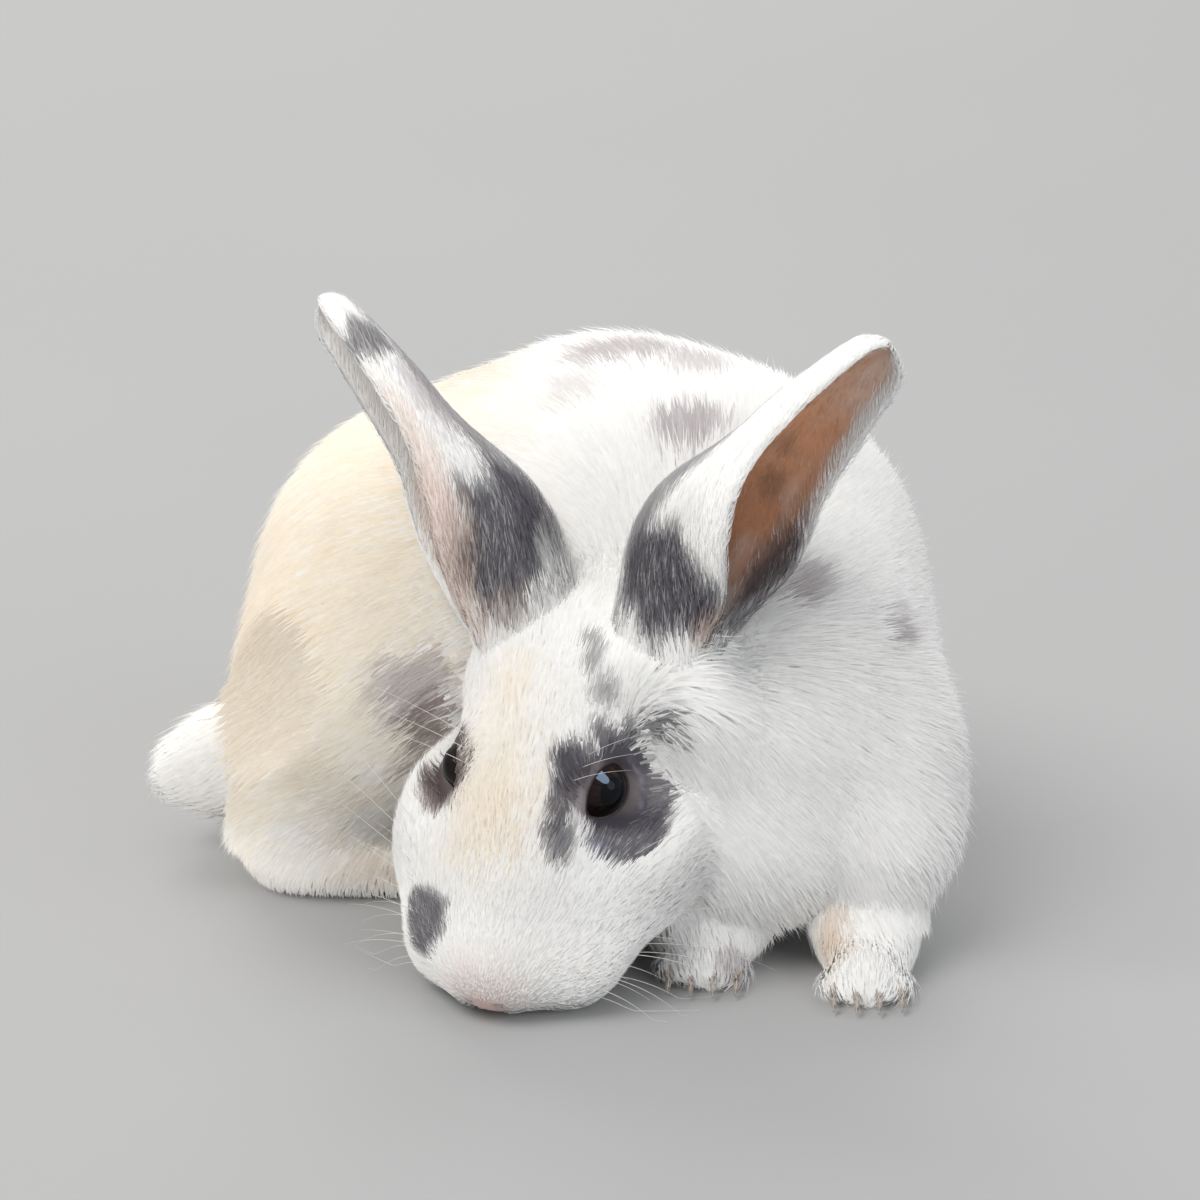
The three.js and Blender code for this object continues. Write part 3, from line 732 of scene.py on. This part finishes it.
# On an ear: face (1 outside, -1 inside), colour, strength, place along and across, half sizes, softness.
LEFT_EAR_MARKS = [
    (1, SLATE, 0.72, (0.46, -0.3), (0.42, 0.17), 0.45),
    (1, SLATE, 0.95, (0.2, -0.62), (0.15, 0.4), 0.3),
    (1, BEIGE, 0.6, (0.14, -1), (0.09, 0.11), 0.5),
    (1, SLATE, 0.8, (0.3, 0.92), (0.25, 0.2), 0.4),
    (1, SMOKE, 0.75, (0.55, 0.25), (0.26, 0.32), 0.4),
    (-1, RUST, 0.9, (0.6, 0.1), (0.43, 0.92), 0.25),
    (-1, BEIGE, 0.45, (0.9, 0.1), (0.12, 0.7), 0.6),
    (-1, UMBER, 0.55, (0.2, 0.1), (0.18, 0.7), 0.6),
    (-1, UMBER, 0.8, (0.44, 0.18), (0.07, 0.2), 0.55),
    (-1, UMBER, 0.5, (0.56, 0.55), (0.04, 0.14), 0.6),
    (-1, UMBER, 0.45, (0.66, 0.4), (0.03, 0.12), 0.6),
    (-1, WHITE, 0.8, (0.5, -1), (0.5, 0.2), 0.5),
    (-1, WHITE, 0.9, (0.78, 1.02), (0.27, 0.14), 0.4),
    (-1, SLATE, 0.88, (0.34, 0.96), (0.22, 0.22), 0.4),
]
RIGHT_EAR_MARKS = [
    (1, SLATE, 0.76, (0.6, 0.26), (0.36, 0.22), 0.45),
    (1, SLATE, 0.92, (0.32, 0.54), (0.17, 0.34), 0.3),
    (1, SLATE, 0.62, (0.26, 0.26), (0.14, 0.2), 0.6),
    (1, SMOKE, 0.6, (0.68, 0.42), (0.14, 0.26), 0.6),
    (1, SLATE, 0.8, (0.865, 0.7), (0.055, 0.34), 0.35),
    (1, WHITE, 0.4, (0.22, 0.34), (0.05, 0.06), 0.6),
    (1, BEIGE, 0.62, (0.4, 0.96), (0.3, 0.2), 0.5),
    (1, ROSE, 0.35, (0.46, 0.9), (0.09, 0.1), 0.6),
    (1, UMBER, 0.45, (0.14, 0.66), (0.05, 0.16), 0.6),
    (1, SMOKE, 0.75, (0.4, -0.35), (0.3, 0.34), 0.4),
    (-1, RUST, 0.75, (0.6, 0), (0.4, 0.6), 0.4),
    (-1, BEIGE, 0.8, (0.35, 0.1), (0.34, 0.8), 0.5),
]


def ear_colour(name, t, place, layer, jitter):
    """Colour of an ear's skin or hair, as body_colour gives it for the body."""
    marks, third = (LEFT_EAR_MARKS, 9.0) if name == "left" else (RIGHT_EAR_MARKS, 60.0)
    sheet = np.stack((t * EAR_LENGTH, place * 30, np.full(len(t), third)), axis=1)
    warp = 0.24 * noise3(sheet * (0.5, 1.3, 1), 9, 90) + 0.2 * noise3(sheet * (0.4, 1.6, 1), 4, 95)
    q = np.stack((t, place), axis=1)
    colour = np.tile(WHITE, (len(t), 1))
    for face, target, strength, centre, halves, soft in marks:
        reach = norm((q - centre) / halves + warp[:, :2])
        colour = mixed(colour, target, mark_amount(reach, soft, strength, jitter) * (layer == face))
    return colour


# ---- the whole skin


def bare_skin(p):
    """True where no hair grows: between the lids and on the nose's leather."""
    bare = ellipsoid(to_head(p), (0, 67, -15), (4.6, 5, 6.5)) < 1
    for side in SIDES:
        r, angle, turn = eye_polar(p, side)
        bare |= (r < 14) & (angle < gap_angle(turn) + 0.14)
    return bare


# A part of the skin: its quads, and for each vertex the point, normal, lie and sizes of the hair, which
# ear it's on (0 for the body), t, place and layer on that ear, and colour.


def body_part():
    points, quads, normals = body_skin()
    sizes = np.stack(coat_sizes(points), axis=1)
    under = ease(-normals[:, 2], 0.35, 0.8) * ease(-points[:, 2], -40, -20)
    sizes[:, 3] *= ~bare_skin(points)
    sizes[:, 3] *= 1 - 0.6 * under
    sizes[:, 3] *= ease(points[:, 2], FLOOR_GAP + 0.05, FLOOR_GAP + 0.8) * 0.94 + 0.06
    flow = lie_of(points, normals)
    none = np.zeros(len(points))
    return quads, points, normals, flow, sizes, none, none, none, none, body_colour(points, none)


def ear_part(number, name, ear):
    points, quads, normals, t, place, layer, along, outward = ear_skin(ear)
    inside = layer < 0
    aside = np.sign(place) * ease(np.abs(place), 0.2, 0.85)
    lean = np.where(inside, 0.75, 0.38) * aside
    flow = along + np.cross(along, outward) * lean[:, None] + 0.14 * noise3(points, 7, 60)
    rim = ease(np.abs(place), 0.72, 0.98)
    near_root = ease(-t, -0.34, 0.02)
    length = np.where(inside, 3.4 + 2.2 * rim, 5.2 + 4.5 * near_root) * (1 - 0.5 * ease(t, 0.88, 1))
    depth = np.where(inside, 0.55 + 0.5 * rim, 0.95 + 1.8 * near_root)
    width = np.where(inside, 0.26, 0.40)
    many = np.where(inside, 0.25 + 1.5 * rim, 1.45) * (t > -0.06)
    sizes = np.stack((length, depth, width, many), axis=1)
    colour = ear_colour(name, t, place, layer, np.zeros(len(t)))
    ear_number = np.full(len(t), number)
    return quads, points, normals, along_surface(flow, normals), sizes, ear_number, t, place, layer, colour


PARTS = [body_part()] + [ear_part(k, name, EARS[name]) for k, name in enumerate(EARS, start=1)]
starts = np.cumsum([0] + [len(part[1]) for part in PARTS])
QUADS = np.concatenate([part[0] + start for part, start in zip(PARTS, starts)])
POINTS, NORMALS, flow, sizes, ear_number, ear_t, ear_place, ear_layer, skin_colours = (
    np.concatenate([part[k] for part in PARTS]) for k in range(1, len(PARTS[0]))
)

# ---- Blender objects


def to_row(p):
    return (p + ORIGIN) * MM


def placed(name, data):
    """A new object in the scene."""
    obj = bpy.data.objects.new(name, data)
    bpy.context.scene.collection.objects.link(obj)
    return obj


def mesh_object(name, points, faces, colours):
    """An object from points in the build frame, faces as rows of vertex numbers of one length, and a colour
    for each vertex, kept as the attribute tint."""
    mesh = bpy.data.meshes.new(name)
    corners = faces.shape[1]
    mesh.vertices.add(len(points))
    mesh.vertices.foreach_set("co", to_row(points).astype(np.float32).ravel())
    mesh.loops.add(faces.size)
    mesh.loops.foreach_set("vertex_index", faces.astype(np.int32).ravel())
    mesh.polygons.add(len(faces))
    mesh.polygons.foreach_set("loop_start", np.arange(0, faces.size, corners, dtype=np.int32))
    mesh.update(calc_edges=True)
    mesh.polygons.foreach_set("use_smooth", np.full(len(faces), True))
    rgba = np.ones((len(points), 4), np.float32)
    rgba[:, :3] = colours
    mesh.color_attributes.new("tint", "FLOAT_COLOR", "POINT").data.foreach_set("color", rgba.ravel())
    return placed(name, mesh)


skin = mesh_object("skin", POINTS, QUADS, skin_colours)


def unwrap(obj):
    """Unwraps the skin's own shape into a UV map named OFBake, and returns it as an array by loop."""
    obj.data.uv_layers.new(name="OFBake")
    bpy.ops.object.select_all(action="DESELECT")
    obj.select_set(True)
    bpy.context.view_layer.objects.active = obj
    bpy.ops.object.mode_set(mode="EDIT")
    bpy.ops.mesh.select_all(action="SELECT")
    bpy.ops.uv.smart_project(angle_limit=math.radians(70), island_margin=0.002)
    bpy.ops.object.mode_set(mode="OBJECT")
    uv = np.empty(len(obj.data.loops) * 2, np.float32)
    obj.data.uv_layers["OFBake"].data.foreach_get("uv", uv)
    return uv.reshape(-1, 2)


SKIN_UV = unwrap(skin).reshape(len(QUADS), 4, 2)

# ---- the coat

# A tuft has three corners sunk in the skin, three at its knee, and a tip.
TUFT_FACES = np.array(
    ((0, 1, 4), (0, 4, 3), (1, 2, 5), (1, 5, 4), (2, 0, 3), (2, 3, 5), (3, 4, 6), (4, 5, 6), (5, 3, 6))
)
# Painted shade and light: each tuft's colour is darker at its sunk corners, as deep in the coat, and a
# little lighter at its tip, where the light falls.
TUFT_PAINTED_SHADE = (0.95, 0.95, 0.95, 1.0, 1.0, 1.0, 1.02)  # of those seven points
TUFT_PATCH = ((-1, -1), (0, -1), (1, -1), (-0.6, 0), (0.6, 0), (0, 0.2), (0, 1))  # on the UV map
PATCH_HALF = 0.0015
PIECE_LIMIT = 21800  # tufts in a piece, to keep it under 200,000 triangles
GUARD_SHARE = 0.05  # of the tufts
TOP_SHARE = 0.42  # of the tufts, guard hairs included. The rest is under hair.
LOCK_REACH = 7.0
LOCK_PULL = 0.12
SWAY = 0.24
KNEE_AT = 0.40  # share of a tuft's length before its knee
KNEE_RISE = 0.90  # share of its rise


def scatter():
    """Roots of all tufts, spread evenly: the quad of each, and weights of the quad's four corners."""
    faces, weights = [], []
    for corners in ((0, 1, 2), (0, 2, 3)):
        a, b, c = (POINTS[QUADS[:, k]] for k in corners)
        area = norm(np.cross(b - a, c - a)) / 2
        expected = area * sizes[:, 3][QUADS[:, list(corners)]].mean(axis=1)
        edges = np.concatenate(([0], np.cumsum(expected)))
        total = int(edges[-1])
        picks = (np.arange(total) + RNG.random(total)) * edges[-1] / total
        faces.append(np.clip(np.searchsorted(edges, picks, side="right") - 1, 0, len(QUADS) - 1))
        u, v = RNG.random(total), RNG.random(total)
        flip = u + v > 1
        u[flip], v[flip] = 1 - u[flip], 1 - v[flip]
        w = np.zeros((total, 4))
        w[:, corners] = np.stack((1 - u - v, u, v), axis=1)
        weights.append(w)
    return np.concatenate(faces), np.concatenate(weights)


root_face, root_weight = scatter()


def at_roots(values):
    """Values at the tufts' roots, from values at the skin's vertices."""
    picked = values[QUADS[root_face]]
    if values.ndim == 1:
        return np.sum(picked * root_weight, axis=1)
    return np.sum(picked * root_weight[:, :, None], axis=1)


ROOTS = at_roots(POINTS)
TUFTS = len(ROOTS)
tuft_normal = unit(at_roots(NORMALS))
tuft_flow = unit(at_roots(flow))
tuft_ear = ear_number[QUADS[root_face, 0]]
tuft_length, tuft_depth, tuft_width, _ = (at_roots(sizes[:, k]) for k in range(4))
tuft_t, tuft_place = at_roots(ear_t), at_roots(ear_place)
tuft_layer = np.sign(at_roots(ear_layer))
tuft_uv = np.sum(SKIN_UV[root_face] * root_weight[:, :, None], axis=1)
rand = RNG.random((TUFTS, 6))

# Under hair: broad and low. Guard hairs: thin, longer, and a little off the coat.
guard = rand[:, 0] < GUARD_SHARE
under_hair = rand[:, 0] > TOP_SHARE


def by_kind(for_guard, for_under, for_top):
    return np.where(guard, for_guard, np.where(under_hair, for_under, for_top))


broad = 1.5 + 0.8 * ease(tuft_length, 4, 12)
length = tuft_length * (0.80 + 0.40 * rand[:, 1]) * by_kind(1.15, 1.0, 1.0)
rise = tuft_depth * (0.90 + 0.16 * rand[:, 2]) * by_kind(1.22, 0.84, 1.0)
width = tuft_width * (0.75 + 0.5 * rand[:, 3]) * by_kind(0.45, broad, 0.75)


def locks(points, reach):
    """From each root to the middle of the lock of hair that it belongs to."""
    cells = np.floor(points / reach).astype(np.int64)
    _, inverse = np.unique(cells, axis=0, return_inverse=True)
    inverse = inverse.ravel()
    count = np.bincount(inverse)
    centres = np.stack([np.bincount(inverse, points[:, k]) / count for k in range(3)], axis=1)
    tree = KDTree(len(centres))
    for i, c in enumerate(centres + RNG.normal(0, reach * 0.18, centres.shape)):
        tree.insert(Vector(c), i)
    tree.balance()
    nearest = np.array([tree.find(Vector(p))[0] for p in points])
    return nearest - points


to_lock = locks(ROOTS, LOCK_REACH)
to_lock -= tuft_normal * np.sum(to_lock * tuft_normal, axis=1, keepdims=True)
pull = np.clip(tuft_length / 15, 0.1, 1)[:, None] * LOCK_PULL

side_dir = np.cross(tuft_normal, tuft_flow)
sway = (rand[:, 4] - 0.5)[:, None] * SWAY
heading = unit(tuft_flow + side_dir * sway)
knee_heading = unit(tuft_flow + side_dir * sway * 0.4)
tips = ROOTS + heading * length[:, None] + tuft_normal * rise[:, None] + to_lock * pull
knees = ROOTS + knee_heading * (length * KNEE_AT)[:, None] + tuft_normal * (rise * KNEE_RISE)[:, None]
knees = knees + to_lock * pull * 0.3
sunk = ROOTS - tuft_normal * (0.25 * tuft_depth + 0.35 * width)[:, None]

spin = np.pi / 2 + (rand[:, 5] - 0.5) * 0.4
flat = np.where(under_hair, 0.28, 0.5)[:, None]
ring_b = unit(np.cross(side_dir, tips - knees)) * flat
ring_b *= np.sign(np.sum(ring_b * tuft_normal, axis=1, keepdims=True))
corners = []
for centre, scale in ((sunk, 0.85), (knees, 1.0)):
    for k in range(3):
        angle = spin + k * 2 * np.pi / 3
        arm = side_dir * np.cos(angle)[:, None] + ring_b * np.sin(angle)[:, None]
        corners.append(centre + arm * (width * scale * 0.5)[:, None])
corners.append(tips)
TUFT_POINTS = np.stack(corners, axis=1)
TUFT_POINTS[:, :, 2] = np.maximum(TUFT_POINTS[:, :, 2], TIP_GAP)

# Normals lean on the skin's, so that the coat is lit as one soft surface.
axis_points = np.stack((ROOTS, ROOTS, ROOTS, knees, knees, knees, tips), axis=1)
own = TUFT_POINTS - axis_points
own[:, 6] = tips - knees
own_share = 0.08 + ease(np.abs(tuft_place), 0.7, 0.95)[:, None, None]
uplift = np.zeros((TUFTS, 1, 3))
uplift[:, 0, 2] = 0.15 + 0.65 * ease(-ROOTS[:, 2], -34, -14)
TUFT_NORMALS = unit(own_share * unit(own) + tuft_normal[:, None] + uplift)

jitter = RNG.uniform(-1, 1, TUFTS)
middle = ROOTS + heading * (0.5 * length)[:, None] + tuft_normal * (0.7 * rise)[:, None]
colours = np.zeros((TUFTS, 3))
mine = tuft_ear == 0
colours[mine] = body_colour(middle[mine], jitter[mine])
for number, name in enumerate(EARS, start=1):
    mine = tuft_ear == number
    t = tuft_t[mine] + 0.5 * length[mine] / EAR_LENGTH
    colours[mine] = ear_colour(name, t, tuft_place[mine], tuft_layer[mine], jitter[mine])
colours *= (1 + 0.035 * RNG.uniform(-1, 1, (TUFTS, 1))) * (1 + 0.03 * noise(ROOTS, 12, 21)[:, None])
colours = np.clip(colours, 0.01, 0.95)
# Each tuft's colour takes the painted shade at its roots and the painted light at its tip.
TUFT_COLOURS = np.clip(colours[:, None] * np.array(TUFT_PAINTED_SHADE)[:, None], 0.01, 0.96)
TUFT_UV = tuft_uv[:, None] + PATCH_HALF * np.array(TUFT_PATCH)


def coat_region():
    """The part of the body that each tuft belongs to."""
    x, y, z = ROOTS.T
    _, forward, up = to_head(ROOTS).T
    on_the_head = rear_flesh(ROOTS) - head_only(ROOTS) > 0
    region = np.full(TUFTS, "back", dtype="<U20")
    region[y < 84] = "shoulders"
    region[(y < 70) & (z < 62)] = "chest"
    region[x < -108] = "right_haunch"
    region[(x < -108) & (y > 118)] = "rump"
    region[(x > -108) & (y > 150)] = "left_haunch"
    region[tail_only(ROOTS) < 2] = "tail"
    region[(feet_only(ROOTS) < 3) & (z < 24)] = "feet"
    region[on_the_head] = "cheeks"
    region[on_the_head & (up > -8)] = "forehead"
    region[on_the_head & (forward > 30)] = "muzzle"
    region[tuft_ear == 1] = "left_ear"
    region[tuft_ear == 2] = "right_ear"
    return region


def coat_piece(name, members):
    points = TUFT_POINTS[members].reshape(-1, 3)
    faces = (TUFT_FACES + 7 * np.arange(len(members))[:, None, None]).reshape(-1, 3)
    obj = mesh_object(name, points, faces, TUFT_COLOURS[members].reshape(-1, 3))
    layer = obj.data.uv_layers.new(name="OFBake")
    layer.data.foreach_set("uv", TUFT_UV[members].reshape(-1, 2)[faces.ravel()].astype(np.float32).ravel())
    normals = obj.data.attributes.new("custom_normal", "FLOAT_VECTOR", "POINT")
    normals.data.foreach_set("vector", TUFT_NORMALS[members].reshape(-1, 3).astype(np.float32).ravel())
    obj.visible_shadow = False  # light passes through the fine hair; the skin throws the shadows
    obj.cycles.shadow_terminator_geometry_offset = 0
    return obj


REGION = coat_region()
coat = []
for region in sorted(set(REGION)):
    members = np.flatnonzero(REGION == region)
    groups = -(-len(members) // PIECE_LIMIT)
    for k in range(groups):
        name = f"coat_{region}" if groups == 1 else f"coat_{region}_{k + 1}"
        group = members[k * len(members) // groups : (k + 1) * len(members) // groups]
        coat.append(coat_piece(name, group))

# ---- eyes and lids

EYE_RINGS, EYE_TURNS = 56, 72
IRIS = np.array((0.008, 0.0042, 0.003))
PUPIL = (0.0015, 0.0015, 0.002)
LIMBUS = (0.012, 0.006, 0.005)
LID_TURNS = 96
# Section of a lid's rim: degrees out from the edge of the gap, and distance from the eyeball's centre.
LID_SECTION = (
    (-2.2, 8.6), (-2.4, 9.15), (-0.8, 9.62), (2.0, 9.9), (6.0, 10.05),
    (11.0, 10.15), (17.0, 10.0), (20.0, 9.0), (8.0, 8.6),
)
LID_MARGIN = np.array((0.030, 0.015, 0.013))
LID_OUTSIDE = np.array((0.10, 0.075, 0.085))


def from_eye(side, r, angle, turn):
    """Points at a distance from an eyeball's centre, an angle off its line of sight, and a turn round it."""
    centre, look, along, across = eye_frame(side)
    sideways = along * np.cos(turn)[:, None] + across * np.sin(turn)[:, None]
    return centre + r * (look * np.cos(angle)[:, None] + sideways * np.sin(angle)[:, None])


def eye_piece(name, side):
    """An eyeball with its cornea's bulge, its pole along the line of sight."""
    angle = np.repeat(np.linspace(0.004, np.pi - 0.004, EYE_RINGS), EYE_TURNS)
    turn = np.tile(np.linspace(0, 2 * np.pi, EYE_TURNS, endpoint=False), EYE_RINGS)
    sag = np.maximum(CORNEA_RADIUS**2 - (CORNEA_SHIFT * np.sin(angle)) ** 2, 0)
    cornea = CORNEA_SHIFT * np.cos(angle) + np.sqrt(sag)
    r = -soft_min(-cornea, np.full(len(angle), -EYE_RADIUS), 0.5)
    points = from_eye(side, r[:, None], angle, turn)
    faces = ring_quads(EYE_RINGS, EYE_TURNS)[:, (0, 3, 2, 1)]
    deg = np.degrees(angle)
    fibres = 0.5 + 0.5 * noise(np.stack((np.cos(turn) * 9, np.sin(turn) * 9, deg * 0.02), 1), 0.7, 5)
    colour = IRIS * (0.5 + 1.1 * fibres[:, None])
    colour = mixed(colour, PUPIL, 1 - ease(deg, 27, 30))
    colour = mixed(colour, LIMBUS, ease(deg, 46, 54))
    return mesh_object(name, points, faces, colour)


def lid_piece(name, side):
    """The rim of the lids round an eye, a closed band that lies on the ball and sinks into the skin."""
    turn = np.linspace(0, 2 * np.pi, LID_TURNS, endpoint=False)
    gap = gap_angle(turn)
    loops = [from_eye(side, r, gap + np.radians(shift), turn) for shift, r in LID_SECTION]
    m = len(LID_SECTION)
    faces = ring_quads(LID_TURNS + 1, m) % (LID_TURNS * m)
    outward = np.clip((np.tile(np.arange(m), LID_TURNS) - 1) / 2.0, 0, 1)[:, None]
    colour = LID_MARGIN * (1 - outward) + LID_OUTSIDE * outward
    return mesh_object(name, np.stack(loops, axis=1).reshape(-1, 3), faces, colour)


# ---- whiskers

WHISKER_STEPS = 15
WHISKER_SIDES = 4
WHISKER_TINT = (0.86, 0.83, 0.78)


def whisker(root, heading, size, droop, bow, radius=0.13):
    """Vertices of a hair from a point of the skull frame, bowed forward and drooping, and its faces."""
    t = np.linspace(0, 1, WHISKER_STEPS)[:, None]
    points = on_head(*root) + unit(heading @ SKULL) * size * t
    points = points + np.array((0, 0, -1.0)) * droop * t**2 + SKULL[0] * bow * t**2
    points[:, 2] = np.maximum(points[:, 2], 0.8)
    tangent = unit(np.gradient(points, axis=0))
    a = unit(np.cross(tangent, np.array((0.3, 0.2, 0.93))))
    b = np.cross(tangent, a)
    angle = np.arange(WHISKER_SIDES) * 2 * np.pi / WHISKER_SIDES
    ring = a[:, None] * np.cos(angle)[:, None] + b[:, None] * np.sin(angle)[:, None]
    verts = points[:, None] + ring * (radius * (1 - 0.85 * t))[:, None]
    return verts.reshape(-1, 3), ring_quads(WHISKER_STEPS, WHISKER_SIDES)


def whisker_piece(name):
    hairs = []
    for side in SIDES:
        for row in range(4):
            for column in range(5):
                j = RNG.uniform(-1, 1, 4)
                root = (side * (15 + 3.2 * row + j[0]), 54 - 5 * column + j[1] * 1.5, -10 - 4.5 * row + j[2])
                back = -0.10 - 0.16 * column
                heading = (side * 1.0, back + 0.1 * j[1], 0.28 - 0.22 * row + 0.1 * j[2])
                size = 30 + 6.5 * column + 6 * j[3]
                hairs.append(whisker(root, heading, size, 6 + 3 * row, -side * 5))
        for k in range(3):  # over the eye
            j = RNG.uniform(-1, 1, 2)
            root = (side * (15.5 + k), 8 - 4 * k, 12)
            heading = (side * (0.75 + 0.1 * j[0]), -0.1, 0.6 + 0.12 * k)
            hairs.append(whisker(root, heading, 24 + 4 * k, 2, side * 3, 0.11))
    verts = np.concatenate([hair[0] for hair in hairs])
    faces = np.concatenate([hair[1] + k * len(hair[0]) for k, hair in enumerate(hairs)])
    return mesh_object(name, verts, faces, WHISKER_TINT)


eyeballs = [eye_piece("left_eyeball", 1), eye_piece("right_eyeball", -1)]
lids = [lid_piece("left_lids", 1), lid_piece("right_lids", -1)]
whiskers = whisker_piece("whiskers")

# ---- materials


def put(node, **values):
    """Sets inputs of a node. A socket's name has _ for a space here."""
    for key, value in values.items():
        node.inputs[key.replace("_", " ")].default_value = value


def new_material(name, scale):
    """A material, its nodes and links, its shader, and a node of noise at a scale over the object."""
    material = bpy.data.materials.new(name)
    material.use_nodes = True
    nodes, links = material.node_tree.nodes, material.node_tree.links
    place = nodes.new("ShaderNodeTexCoord")
    speckle = nodes.new("ShaderNodeTexNoise")
    put(speckle, Scale=scale)
    links.new(place.outputs["Object"], speckle.inputs["Vector"])
    return material, nodes, links, nodes["Principled BSDF"], speckle


def tint_material(name, grain, amount, roughness, specular, bump=0.0, sheen=0.0):
    """Colour from the attribute tint, broken up by noise of a grain size in metres."""
    material, nodes, links, shader, speckle = new_material(name, 1 / grain)
    put(speckle, Detail=3)
    tint = nodes.new("ShaderNodeAttribute")
    tint.attribute_name = "tint"
    spread = nodes.new("ShaderNodeMapRange")
    put(spread, To_Min=1 - amount, To_Max=1 + amount)
    links.new(speckle.outputs["Fac"], spread.inputs["Value"])
    scale = nodes.new("ShaderNodeVectorMath")
    scale.operation = "SCALE"
    links.new(tint.outputs["Color"], scale.inputs[0])
    links.new(spread.outputs["Result"], scale.inputs["Scale"])
    links.new(scale.outputs["Vector"], shader.inputs["Base Color"])
    put(shader, Roughness=roughness, Specular_IOR_Level=specular, Sheen_Weight=sheen)
    if bump:
        relief = nodes.new("ShaderNodeBump")
        put(relief, Strength=bump, Distance=0.0004)
        links.new(speckle.outputs["Fac"], relief.inputs["Height"])
        links.new(relief.outputs["Normal"], shader.inputs["Normal"])
    return material


def ramp_material(name, scale, dark, light, roughness):
    """Two colours mixed by noise."""
    material, nodes, links, shader, speckle = new_material(name, scale)
    ramp = nodes.new("ShaderNodeValToRGB")
    ramp.color_ramp.elements[0].color = (*dark, 1)
    ramp.color_ramp.elements[1].color = (*light, 1)
    links.new(speckle.outputs["Fac"], ramp.inputs["Fac"])
    links.new(ramp.outputs["Color"], shader.inputs["Base Color"])
    put(shader, Roughness=roughness)
    return material


coat_material = tint_material("coat_hair", 0.0022, 0.06, 0.82, 0.22, sheen=0.12)
skin_material = tint_material("skin_fur", 0.0012, 0.10, 0.75, 0.25, bump=0.5)
lid_material = tint_material("lid_skin", 0.0007, 0.18, 0.42, 0.45, bump=0.4)
eye_material = tint_material("eye_wet", 0.0009, 0.12, 0.03, 0.16)
whisker_material = tint_material("whisker_hair", 0.004, 0.05, 0.35, 0.5)
claw_material = ramp_material("claw_horn", 900, (0.34, 0.27, 0.22), (0.60, 0.52, 0.44), 0.35)
floor_material = ramp_material("floor_paper", 3, (0.40, 0.40, 0.40), (0.43, 0.43, 0.43), 0.9)

for objects, finish in (
    (coat, coat_material),
    ([skin], skin_material),
    (lids, lid_material),
    (eyeballs, eye_material),
    ([whiskers], whisker_material),
):
    for obj in objects:
        obj.data.materials.append(finish)

CLAWS = [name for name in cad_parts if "_claw_" in name]
for name in CLAWS:
    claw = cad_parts[name]
    claw.data.materials.clear()
    claw.data.materials.append(claw_material)
    smoother = claw.modifiers.new("rounding", "SUBSURF")
    smoother.levels = smoother.render_levels = 2

# ---- bodies and hidden nodes

FLESH = [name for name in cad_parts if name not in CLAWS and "_eye" not in name]
for obj in [skin, whiskers, *lids, *eyeballs, *coat]:
    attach(obj, "root")
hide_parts(*FLESH)
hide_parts("left_eye")
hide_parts("right_eye")

# ---- camera, light and floor

AIM = (0.01308, -0.055, 0.1038)  # metres, in the row's frame, as all from here on
AWAY = 1.8
ELEVATION = math.radians(21)
TO_CAMERA = np.array((0, -math.cos(ELEVATION), math.sin(ELEVATION)))
FLOOR_HALF = 30.0
WINDOW_AWAY = 1.6

camera = placed("camera", bpy.data.cameras.new("camera"))
camera.location = Vector(AIM) + AWAY * Vector(TO_CAMERA)
camera.rotation_euler = (math.pi / 2 - ELEVATION, 0, 0)
camera.data.sensor_width = 36
camera.data.lens = 198.2
camera.data.clip_end = 100
bpy.context.scene.camera = camera


def floor_piece():
    mesh = bpy.data.meshes.new("floor")
    r = FLOOR_HALF
    mesh.from_pydata([(-r, -r, 0), (r, -r, 0), (r, r, 0), (-r, r, 0)], [], [(0, 1, 2, 3)])
    mesh.materials.append(floor_material)
    placed("floor", mesh)


def area_light(name, location, size, power, colour, target=(0, 0, 0.08)):
    data = bpy.data.lights.new(name, "AREA")
    data.shape = "DISK"
    data.size = size
    data.energy = power
    data.color = colour
    obj = placed(name, data)
    obj.location = location
    aim = Vector(target) - Vector(location)
    obj.rotation_euler = aim.to_track_quat("-Z", "Y").to_euler()
    return obj


def catch_light():
    """A small pale blue window that the left eye mirrors to the front, high on the ball."""
    centre = to_row(eye_frame(1)[0])
    above = np.array((0, math.sin(ELEVATION), math.cos(ELEVATION)))
    mirror = unit(TO_CAMERA + 0.42 * above + (0.16, 0, 0))
    place = centre + WINDOW_AWAY * (2 * (mirror @ TO_CAMERA) * mirror - TO_CAMERA)
    window = area_light("window", tuple(place), 1.1, 70, (0.50, 0.70, 1.0), tuple(centre))
    eyes = bpy.data.collections.new("eyes")
    for ball in eyeballs:
        eyes.objects.link(ball)
    window.light_linking.receiver_collection = eyes


floor_piece()
catch_light()
area_light("key", (-0.9, -0.5, 1.9), 1.3, 23, (1.0, 0.985, 0.96))
area_light("fill", (1.6, -1.2, 1.2), 1.6, 9, (0.92, 0.96, 1.0))
area_light("back", (-0.2, 1.7, 1.6), 1.4, 22, (1.0, 0.98, 0.95))

world = bpy.data.worlds.new("studio")
world.use_nodes = True
put(world.node_tree.nodes["Background"], Color=(0.93, 0.94, 0.96, 1), Strength=0.60)
bpy.context.scene.world = world
bpy.context.scene.view_settings.view_transform = "Standard"
